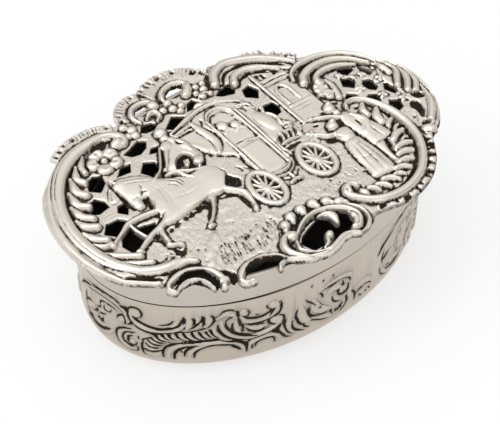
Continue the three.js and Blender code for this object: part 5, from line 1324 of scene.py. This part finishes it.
def turned(name, section, oxide, wobble=0.0, lit_behind_eyes=0.0):
    """A section of [inset, z] points carried round the oval, a little uneven, and painted light inside at the
    back, behind the crest's eyes.
    """
    a = np.linspace(0, 2 * math.pi, TURNED_COUNT, endpoint=False)
    verts = []
    for inset, z in section:
        w = wobble * sum(np.sin((k + 2) * a + 1.7 * k + z * 0.2) / (k + 1) for k in range(4))
        verts.append(ring_points(inset, z, a) - np.stack([w * np.cos(a), w * np.sin(a), 0 * a], 1))
    # Painted light: the inside dark is taken off behind the crest's eyes, so they read pale
    dark_kept = 1 - lit_behind_eyes * np.exp(-((a - EYES_ANGLE) / EYES_SPREAD) ** 2)
    return build_mesh(name, np.vstack(verts), [ring_quads(len(section), TURNED_COUNT)],
                      oxide=np.outer(oxide, dark_kept).ravel())


def round_section(corners, radius, steps=4):
    """Rounded corners for a closed section."""
    out = []
    n = len(corners)
    for k in range(n):
        p, a, b = (np.array(corners[j % n], float) for j in (k, k - 1, k + 1))
        u, v = (a - p) / np.linalg.norm(a - p), (b - p) / np.linalg.norm(b - p)
        for t in np.linspace(0, 1, steps + 1):
            out.append(p + radius * (u * (1 - t) ** 2 + v * t ** 2))
    return out


def wall_profile():
    """Outer side of the body from the seam down, as insets and heights. Rows are close where it is chased."""
    top, turn = SEAM_Z - SEAM_GAP / 2, FOOT_RISE
    stop = math.acos(1 - BASE_THICKNESS / FOOT_RISE)
    run = np.concatenate([np.linspace(0, CHASED_FROM, 4),
        np.arange(CHASED_FROM + WALL_STEP, CHASED_TO, WALL_STEP),
        np.linspace(CHASED_TO, top - turn + FOOT_RUN, 10)])
    t = math.pi / 2 + (stop - math.pi / 2) * np.clip((run - top + turn) / FOOT_RUN, 0, 1)
    straight = run < top - turn
    inset = np.where(straight, 0, FOOT_INSET * (1 - np.sin(t)))
    return np.stack([inset, np.where(straight, top - run, FOOT_RISE * (1 - np.cos(t)))], 1)


def wall_mesh(name, f):
    """Body wall: fine chased outside, plain inside, closed at top and bottom."""
    rows = wall_profile()
    step = np.hypot(*np.diff(rows, axis=0).T)
    down = np.concatenate([[0], np.cumsum(step)])
    cols = 3 * int(UNIT / WALL_STEP)
    s = np.arange(cols) * RUN[-1] / cols
    # The pattern is measured from the front middle, where the angle is -90 degrees
    front = np.interp(math.pi / 2, ANGLES, RUN)
    angle = np.interp((s - front) % RUN[-1], RUN, ANGLES)
    pattern_s = (s - front - np.interp(1.5 * math.pi, ANGLES, RUN) - UNIT_START) % UNIT
    gi = np.clip((pattern_s / WALL_STEP), 0, f.X.shape[0] - 1.001)
    gj = np.clip(down / WALL_STEP, 0, f.X.shape[1] - 1.001)

    def sample(a):
        i, j = gi.astype(int)[None, :], gj.astype(int)[:, None]
        u, v = (gi % 1)[None, :], (gj % 1)[:, None]
        near = a[i, j] * (1 - u) + a[i + 1, j] * u
        far = a[i, j + 1] * (1 - u) + a[i + 1, j + 1] * u
        return near * (1 - v) + far * v

    fade = (ease((down - FADE_IN) / FADE_IN_RUN) * ease((FADE_OUT - down) / FADE_OUT_RUN))[:, None]
    push = sample(f.h) * fade
    right_fade = 1 - RIGHT_FADE_LOSS * np.exp(-((np.degrees(angle) - RIGHT_FADE_ANGLE) / RIGHT_FADE_SPREAD) ** 2)
    shade = sample(f.oxide) * fade * right_fade
    inset, z = rows[:, 0][:, None], rows[:, 1][:, None]
    slope = np.gradient(rows, axis=0)
    slope /= np.hypot(slope[:, 0], slope[:, 1])[:, None]
    out, lift = -slope[:, 1][:, None], slope[:, 0][:, None]
    # Shallow dents, above the foot only
    dents = (0.05 * np.sin(3 * angle + 0.6) + 0.04 * np.sin(7 * angle + 2)) * (inset < FOOT_INSET * 0.6)
    x = (HALF_LENGTH - inset + out * push + dents) * np.cos(angle)
    y = (HALF_WIDTH - inset + out * push + dents) * np.sin(angle)
    outer = np.stack([x, y, z - lift * push + 0 * x], -1)
    # Plain inside, fewer rows
    keep = np.unique(np.linspace(0, len(rows) - 1, INNER_ROWS).astype(int))[::-1]
    inner = np.stack([np.stack([(HALF_LENGTH - rows[k, 0] - WALL) * np.cos(angle),
        (HALF_WIDTH - rows[k, 0] - WALL) * np.sin(angle), np.full(cols, rows[k, 1])], -1) for k in keep])
    verts = np.concatenate([outer, inner])
    quads = ring_quads(len(verts), cols)[:, [0, 3, 2, 1]]
    # Inside rows take the painted shade and tarnish of the inside
    tone = np.concatenate([shade.ravel(), np.full(inner.shape[0] * cols, INSIDE_TARNISH_SHADE)])
    return build_mesh(name, verts.reshape(-1, 3), [quads], oxide=tone)


def lathe_x(name, outline, count=40):
    """Outline of [x, radius] points turned about the hinge axis."""
    a = np.linspace(0, 2 * math.pi, count, endpoint=False)
    verts = [np.stack([np.full(count, x), HINGE_Y + r * np.cos(a), SEAM_Z + r * np.sin(a)], 1) for x,
        r in outline]
    return build_mesh(name, np.vstack(verts), [ring_quads(len(outline), count)])


def thin(obj, ratio):
    """Collapse flat areas, keeping the worked detail."""
    mod = obj.modifiers.new("thin", "DECIMATE")
    mod.ratio = ratio
    graph = bpy.context.evaluated_depsgraph_get()
    mesh = bpy.data.meshes.new_from_object(obj.evaluated_get(graph))
    mesh.set_sharp_from_angle(angle=SHARP_ANGLE)
    obj.modifiers.remove(mod)
    old = obj.data
    obj.data = mesh
    bpy.data.meshes.remove(old)


# Materials: tint of the tarnish and of the painted foot shade, the two colours of the oxide and of painted
# shade, and what they do to the metal's shine
TARNISH_AND_SHADE_TINT = (0.80, 0.74, 0.66)
OXIDE_AND_SHADE_BLACK, OXIDE_AND_SHADE_BROWN = (0.016, 0.012, 0.009), (0.040, 0.030, 0.022)
OXIDE_ROUGHER, OXIDE_METAL, OXIDE_GLOSS, PLAIN_GLOSS = 0.28, 0.3, 0.06, 0.5
# Most dark of the painted shade and tarnish inside the box, and of a thin film of oxide
INSIDE_TARNISH_SHADE_MOST, FILM_DARK = 0.88, 0.36
# Noise scales, in repeats per metre, and the depth of the grain in metres
CLOUDS, SPECKS, LINES, BREAKS, BLOTCHES, DOTS = 70, 1400, 900, 620, 180, 2200
GRAIN_DEPTH = 0.00012
# Painted shade: a dark line under the seam for the shadow in the gap; its lower and upper limit below the
# edge, where it fades along x, and what is left
SEAM_LOW, SEAM_HIGH = 0.4, 0.2
SEAM_FADE_FROM, SEAM_FADE_TO, SEAM_LEFT = -22, -2, 0.05
# Painted shade that grows towards the foot, for the shadowed floor seen in the wall near the base: the
# heights between which it grows, and the most of it
FOOT_SHADE_FROM, FOOT_SHADE_TO, FOOT_SHADE = 12, 1, 0.6


def silver(name, colour, rough, oxide=0.0, grain=0.25, attribute=False, tarnish=0.25, stretch=(1, 1, 1),
           seam=False, stipple=0.0, ragged=(0.5, 1.3), crisp=(0.14, 0.72)):
    """Old silver: warm metal, cloudy tarnish, fine wear lines, dark oxide left in the hollows, and painted
    shade where the mesh's values carry it.
    """
    mat = bpy.data.materials.new(name)
    mat.use_nodes = True
    tree = mat.node_tree
    shader = tree.nodes["Principled BSDF"]

    def add(kind, **settings):
        node = tree.nodes.new(kind)
        for key, value in settings.items():
            setattr(node, key, value)
        return node

    def noise(scale, detail, vector, rough_value=0.55):
        node = add("ShaderNodeTexNoise")
        node.inputs["Scale"].default_value = scale
        node.inputs["Detail"].default_value = detail
        node.inputs["Roughness"].default_value = rough_value
        tree.links.new(vector, node.inputs["Vector"])
        return node.outputs["Fac"]

    def fit_range(value, lo, hi, to_lo, to_hi):
        node = add("ShaderNodeMapRange")
        for key, v in (("From Min", lo), ("From Max", hi), ("To Min", to_lo), ("To Max", to_hi)):
            node.inputs[key].default_value = v
        tree.links.new(value, node.inputs["Value"])
        return node.outputs["Result"]

    def mix(factor, a, b):
        node = add("ShaderNodeMix", data_type="RGBA")
        tree.links.new(factor, node.inputs["Factor"])
        for socket, v in (("A", a), ("B", b)):
            target = [s for s in node.inputs if s.name == socket and s.type == "RGBA"][0]
            if isinstance(v, tuple):
                target.default_value = (*v, 1)
            else:
                tree.links.new(v, target)
        return [s for s in node.outputs if s.type == "RGBA"][0]

    def math_node(kind, a, b):
        node = add("ShaderNodeMath", operation=kind)
        for k, v in enumerate((a, b)):
            if isinstance(v, (int, float)):
                node.inputs[k].default_value = v
            else:
                tree.links.new(v, node.inputs[k])
        return node.outputs[0]

    where = add("ShaderNodeTexCoord").outputs["Object"]
    mapping = add("ShaderNodeMapping")
    mapping.inputs["Scale"].default_value = stretch
    tree.links.new(where, mapping.inputs["Vector"])
    cloud = noise(CLOUDS, 4, where)
    speck = noise(SPECKS, 3, where)
    lines = noise(LINES, 5, mapping.outputs["Vector"], 0.7)
    warm = tuple(c * k for c, k in zip(colour, TARNISH_AND_SHADE_TINT))
    tone = mix(fit_range(cloud, 0.35, 0.75, 0, tarnish), colour, warm)
    base_rough = fit_range(speck, 0.3, 0.7, rough - 0.05, rough + 0.07)
    if attribute:
        # The mesh's dark values: oxide, and painted shade where they stand for shadow
        dark_amount = add("ShaderNodeAttribute", attribute_name="oxide").outputs["Fac"]
        broken = math_node("MULTIPLY", dark_amount, fit_range(noise(BREAKS, 5, where, 0.65), 0.32, 0.66, *ragged))
        # Painted shade and tarnish inside the box
        inside = fit_range(dark_amount, INSIDE_TARNISH_SHADE, 0, INSIDE_TARNISH_SHADE_MOST, 0)
        film = fit_range(dark_amount, 0.05, 0.4, 0, FILM_DARK)
        dark = math_node("MAXIMUM", fit_range(broken, *crisp, 0, 1), math_node("MAXIMUM", film, inside))
    else:
        dark = fit_range(noise(BLOTCHES, 5, where), 0.62, 0.85, 0, oxide)
    if stipple:
        ground = add("ShaderNodeAttribute", attribute_name="ground").outputs["Fac"]
        dots = fit_range(noise(DOTS, 3, where), 0.47, 0.7, 0, stipple)
        dark = math_node("MAXIMUM", dark, math_node("MULTIPLY", dots, ground))
    if seam:
        split = add("ShaderNodeSeparateXYZ")
        tree.links.new(where, split.inputs[0])
        x, z = split.outputs["X"], split.outputs["Z"]
        # Painted shade: a dark line just under the seam, fading out towards the right
        top = (SEAM_Z - SEAM_GAP / 2) * MM
        line = fit_range(z, top - SEAM_LOW * MM, top - SEAM_HIGH * MM, 0, 1)
        line = math_node("MULTIPLY", line, fit_range(x, SEAM_FADE_FROM * MM, SEAM_FADE_TO * MM, 1, SEAM_LEFT))
        dark = math_node("MAXIMUM", dark, line)
        # Painted shade: darker and warmer towards the foot
        tone = mix(fit_range(z, FOOT_SHADE_FROM * MM, FOOT_SHADE_TO * MM, 0, FOOT_SHADE), tone, warm)
    brown = mix(fit_range(cloud, 0.4, 0.65, 0, 1), OXIDE_AND_SHADE_BLACK, OXIDE_AND_SHADE_BROWN)
    rougher = math_node("ADD", base_rough, math_node("MULTIPLY", dark, OXIDE_ROUGHER))
    tree.links.new(mix(dark, tone, brown), shader.inputs["Base Color"])
    tree.links.new(rougher, shader.inputs["Roughness"])
    tree.links.new(fit_range(dark, 0, 1, 1, OXIDE_METAL), shader.inputs["Metallic"])
    tree.links.new(fit_range(dark, 0, 1, PLAIN_GLOSS, OXIDE_GLOSS), shader.inputs["Specular IOR Level"])
    bump = add("ShaderNodeBump")
    bump.inputs["Strength"].default_value = grain
    bump.inputs["Distance"].default_value = GRAIN_DEPTH
    tree.links.new(math_node("ADD", math_node("MULTIPLY", speck, 0.6), lines), bump.inputs["Height"])
    tree.links.new(bump.outputs["Normal"], shader.inputs["Normal"])
    return mat


LID = silver("lid_silver_worked", (0.80, 0.745, 0.67), 0.35, attribute=True, grain=0.3, stipple=0.6)
# Body and rim: the same silver painted darker than the lid's, as shade on the upright sides
BODY_SILVER_SHADED = silver("body_silver_chased_shaded", (0.58, 0.52, 0.445), 0.29, attribute=True, grain=0.18, seam=True,
              ragged=(0.8, 1.2), crisp=(0.42, 0.62))
RIM_SILVER_SHADED = silver("rim_silver_satin_shaded", (0.58, 0.525, 0.46), 0.27, attribute=True, grain=0.16, stretch=(1, 1, 9))
BASE = silver("base_silver_worn", (0.74, 0.70, 0.65), 0.34, attribute=True, grain=0.35, stretch=(7, 1, 1))
INNER = silver("inner_silver_plain", (0.82, 0.77, 0.70), 0.3, attribute=True, grain=0.2, stretch=(1, 1, 6))
HINGE = silver("hinge_silver_plain", (0.76, 0.72, 0.67), 0.3, oxide=0.5, grain=0.25, stretch=(9, 1, 1))
PIN = silver("pin_metal_plain", (0.66, 0.63, 0.6), 0.32, oxide=0.3, grain=0.3, stretch=(1, 9, 9))

# Pieces: shares of the faces kept on the two worked sheets, and small sizes in millimetres
LID_KEPT, WALL_KEPT = 0.35, 0.5
RIM_ROUND, BEZEL_ROUND, FLOOR_BEVEL = 0.25, 0.2, 0.1
PLATE_CENTRE, PLATE_ROUND = 0.01, 1.2
PIN_PLAY, PIN_REACH, PIN_BEVEL = 0.08, 0.3, 0.15
END_DROP = 0.2

panel_sheet = sheet_mesh("lid_panel_pierced", lid_relief(), PANEL_Z)
thin(new_object("lid", ["lid_panel"], panel_sheet, LID), LID_KEPT)
chased_wall = wall_mesh("body_wall_chased", wall_relief())
thin(new_object("box", ["body_wall"], chased_wall, BODY_SILVER_SHADED), WALL_KEPT)

rim_low = SEAM_Z + SEAM_GAP / 2
rim_section = round_section([(0, rim_low), (0, PANEL_Z), (WALL, PANEL_Z), (WALL, rim_low)], RIM_ROUND)
# The rim's inside takes the painted shade and tarnish of the inside, painted light again behind the crest's
# eyes
rim_band = turned("lid_rim_band", rim_section, [0] * 10 + [INSIDE_TARNISH_SHADE] * 10, wobble=0.05, lit_behind_eyes=1.0)
new_object("lid", ["lid_rim"], rim_band, RIM_SILVER_SHADED)

low, high = SEAM_Z - BEZEL_DEPTH, SEAM_Z + BEZEL_RISE
outer_edge, inner_edge = WALL + FIT, WALL + FIT + BEZEL_THICKNESS
bezel_corners = [(outer_edge, low), (outer_edge, high), (inner_edge, high), (inner_edge, low)]
# The bezel's inner faces take the painted shade and tarnish of the inside
bezel = turned("bezel_strip_turned", round_section(bezel_corners, BEZEL_ROUND), [0.1] * 10 + [INSIDE_TARNISH_SHADE] * 10)
new_object("box", ["bezel_strip"], bezel, INNER)

foot_start = math.acos(1 - BASE_THICKNESS / FOOT_RISE)
edge_inset = FOOT_INSET * (1 - math.sin(foot_start))
floor_inset, floor_z = edge_inset + WALL + FIT, BASE_THICKNESS + FLOOR_RISE
base_rows = [(HALF_WIDTH - PLATE_CENTRE, 0.0), (FOOT_INSET + PLATE_ROUND, 0.0), (FOOT_INSET, 0.02),
    ((FOOT_INSET + edge_inset) / 2 - 0.1, BASE_THICKNESS * 0.4), (edge_inset, BASE_THICKNESS),
    (floor_inset, BASE_THICKNESS), (floor_inset, floor_z - FLOOR_BEVEL), (floor_inset + FLOOR_BEVEL, floor_z),
    (HALF_WIDTH - PLATE_CENTRE, floor_z)]
# The base's inside floor takes the painted shade and tarnish of the inside
base_sheet = turned("base_plate_sheet", base_rows[::-1], [INSIDE_TARNISH_SHADE] * 5 + [0.1] * 4)
new_object("box", ["base_plate"], base_sheet, BASE)

for name in ("hinge_bearer_body", "hinge_bearer_lid"):
    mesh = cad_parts[name].data
    mesh.materials.clear()
    mesh.materials.append(HINGE)

pitch = HINGE_LENGTH / KNUCKLES
# Profile of a knuckle's end: distance in from the end, and drop below the full radius
KNUCKLE_END = [(0, END_DROP), (0.08, 0.06), (0.25, 0)]
for k, (node, body) in enumerate([("hinge_knuckle_body_left", "box"), ("hinge_knuckle_lid_left", "lid"),
                                  ("hinge_knuckle_body_middle", "box"), ("hinge_knuckle_lid_right", "lid"),
                                  ("hinge_knuckle_body_right", "box")]):
    x0 = (k - KNUCKLES / 2) * pitch + FIT / 2
    x1 = x0 + pitch - FIT
    bore = PIN_RADIUS + PIN_PLAY
    outline = [(x0, bore)] + [(x0 + dx, KNUCKLE_RADIUS - drop) for dx, drop in KNUCKLE_END]
    outline += [(x1 - dx, KNUCKLE_RADIUS - drop) for dx, drop in KNUCKLE_END[::-1]] + [(x1, bore)]
    new_object(body, [node], lathe_x(node + "_turned", outline), HINGE)

half = HINGE_LENGTH / 2 + PIN_REACH
pin_rows = [(-half, 0.01), (-half, PIN_RADIUS - END_DROP), (-half + PIN_BEVEL, PIN_RADIUS),
            (half - PIN_BEVEL, PIN_RADIUS), (half, PIN_RADIUS - END_DROP), (half, 0.01)]
new_object("box", ["hinge_pin"], lathe_x("hinge_pin_turned", pin_rows, 24), PIN)

# Stage: pale floor, soft light, camera at the photograph's angle
FLOOR_HALF, FLOOR_GREY, FLOOR_GLOW = 3, 0.86, 0.7
floor_mesh = bpy.data.meshes.new("floor")
floor_corners = [(x * FLOOR_HALF, y * FLOOR_HALF, 0) for x, y in ((-1, -1), (1, -1), (1, 1), (-1, 1))]
floor_mesh.from_pydata(floor_corners, [], [(0, 1, 2, 3)])
floor = bpy.data.objects.new("floor", floor_mesh)
bpy.context.scene.collection.objects.link(floor)


def floor_material():
    """Pale floor that keeps the shadow, and is near white to the camera and in reflections."""
    mat = bpy.data.materials.new("floor_pale")
    mat.use_nodes = True
    tree = mat.node_tree
    tree.nodes.clear()
    kinds = {"output": "OutputMaterial", "blend": "MixShader", "diffuse": "BsdfDiffuse", "glow": "Emission",
             "path": "LightPath", "seen": "Math", "also": "Math", "share": "Math"}
    nodes = {key: tree.nodes.new("ShaderNode" + kind) for key, kind in kinds.items()}
    nodes["diffuse"].inputs["Color"].default_value = (FLOOR_GREY, FLOOR_GREY, FLOOR_GREY, 1)
    nodes["glow"].inputs["Color"].default_value = (1, 1, 1, 1)
    for key, operation in (("seen", "MAXIMUM"), ("also", "MAXIMUM"), ("share", "MULTIPLY")):
        nodes[key].operation = operation
    nodes["share"].inputs[1].default_value = FLOOR_GLOW
    for source, socket, target, place in [
            ("path", "Is Camera Ray", "seen", 0), ("path", "Is Glossy Ray", "seen", 1),
            ("seen", 0, "also", 0), ("path", "Is Transmission Ray", "also", 1), ("also", 0, "share", 0),
            ("share", 0, "blend", 0), ("diffuse", 0, "blend", 1), ("glow", 0, "blend", 2),
            ("blend", 0, "output", 0)]:
        tree.links.new(nodes[source].outputs[socket], nodes[target].inputs[place])
    return mat


floor_mesh.materials.append(floor_material())

# Studio light from all round: brightness by height, 0 at the horizon or below and 1 straight up
SKY_LEVELS = [(0.35, 0.58), (0.62, 0.92)]
SKY_LOW, SKY_HIGH = 0.42, 0.95
world = bpy.data.worlds.new("studio")
world.use_nodes = True
sky = world.node_tree
direction = sky.nodes.new("ShaderNodeTexCoord")
split = sky.nodes.new("ShaderNodeSeparateXYZ")
ramp_node = sky.nodes.new("ShaderNodeValToRGB")
sky.links.new(direction.outputs["Generated"], split.inputs[0])
sky.links.new(split.outputs["Z"], ramp_node.inputs["Fac"])
sky.links.new(ramp_node.outputs["Color"], sky.nodes["Background"].inputs["Color"])
steps = ramp_node.color_ramp.elements
steps[0].color = (SKY_LOW, SKY_LOW, SKY_LOW, 1)
steps[1].color = (SKY_HIGH, SKY_HIGH, SKY_HIGH, 1)
for place, level in SKY_LEVELS:
    steps.new(place).color = (level, level, level, 1)
bpy.context.scene.world = world

# Soft boxes, all aimed at the lid: place in metres, width and height, watts
LIGHT_TARGET = Vector((0, 0, 0.03))
SOFTBOXES = [
    ("key_left", (-1.0, 0.35, 0.95), (0.9, 0.9), 6.0),
    ("top", (-0.1, 0.1, 1.4), (0.8, 0.8), 3.3),
    ("fill_front", (-0.74, -0.95, 0.26), (1.6, 0.4), 2.6),
]
for name, place, size, watts in SOFTBOXES:
    light = bpy.data.lights.new(name, "AREA")
    light.shape = "RECTANGLE"
    light.size, light.size_y = size
    light.energy = watts
    lamp = bpy.data.objects.new(name, light)
    bpy.context.scene.collection.objects.link(lamp)
    lamp.location = place
    lamp.rotation_euler = (LIGHT_TARGET - Vector(place)).to_track_quat("-Z", "Y").to_euler()

# Camera: pixels per metre at the seam, the photograph's width, and how far its middle is off the seam's
AZIMUTH, ELEVATION, DISTANCE = math.radians(-38), math.radians(45), 0.45
SCALE, IMAGE_WIDTH, SENSOR = 3.72 / MM, 500, 36
PIXELS_LEFT, PIXELS_DOWN = 2.2, 24.8
level_back = math.cos(ELEVATION)
back = Vector((math.sin(AZIMUTH) * level_back, -math.cos(AZIMUTH) * level_back, math.sin(ELEVATION)))
right = Vector((math.cos(AZIMUTH), math.sin(AZIMUTH), 0))
above = back.cross(right)
seam = Vector((0, 0, SEAM_Z * MM))
camera_data = bpy.data.cameras.new("camera")
camera_data.sensor_width = SENSOR
camera_data.lens = SCALE * DISTANCE * SENSOR / IMAGE_WIDTH
camera_data.clip_start = 0.01
camera = bpy.data.objects.new("camera", camera_data)
bpy.context.scene.collection.objects.link(camera)
camera.location = seam + back * DISTANCE
middle = seam - right * (PIXELS_LEFT / SCALE) - above * (PIXELS_DOWN / SCALE)
camera.rotation_euler = (middle - camera.location).to_track_quat("-Z", "Y").to_euler()
bpy.context.scene.camera = camera
bpy.context.scene.view_settings.view_transform = "Standard"
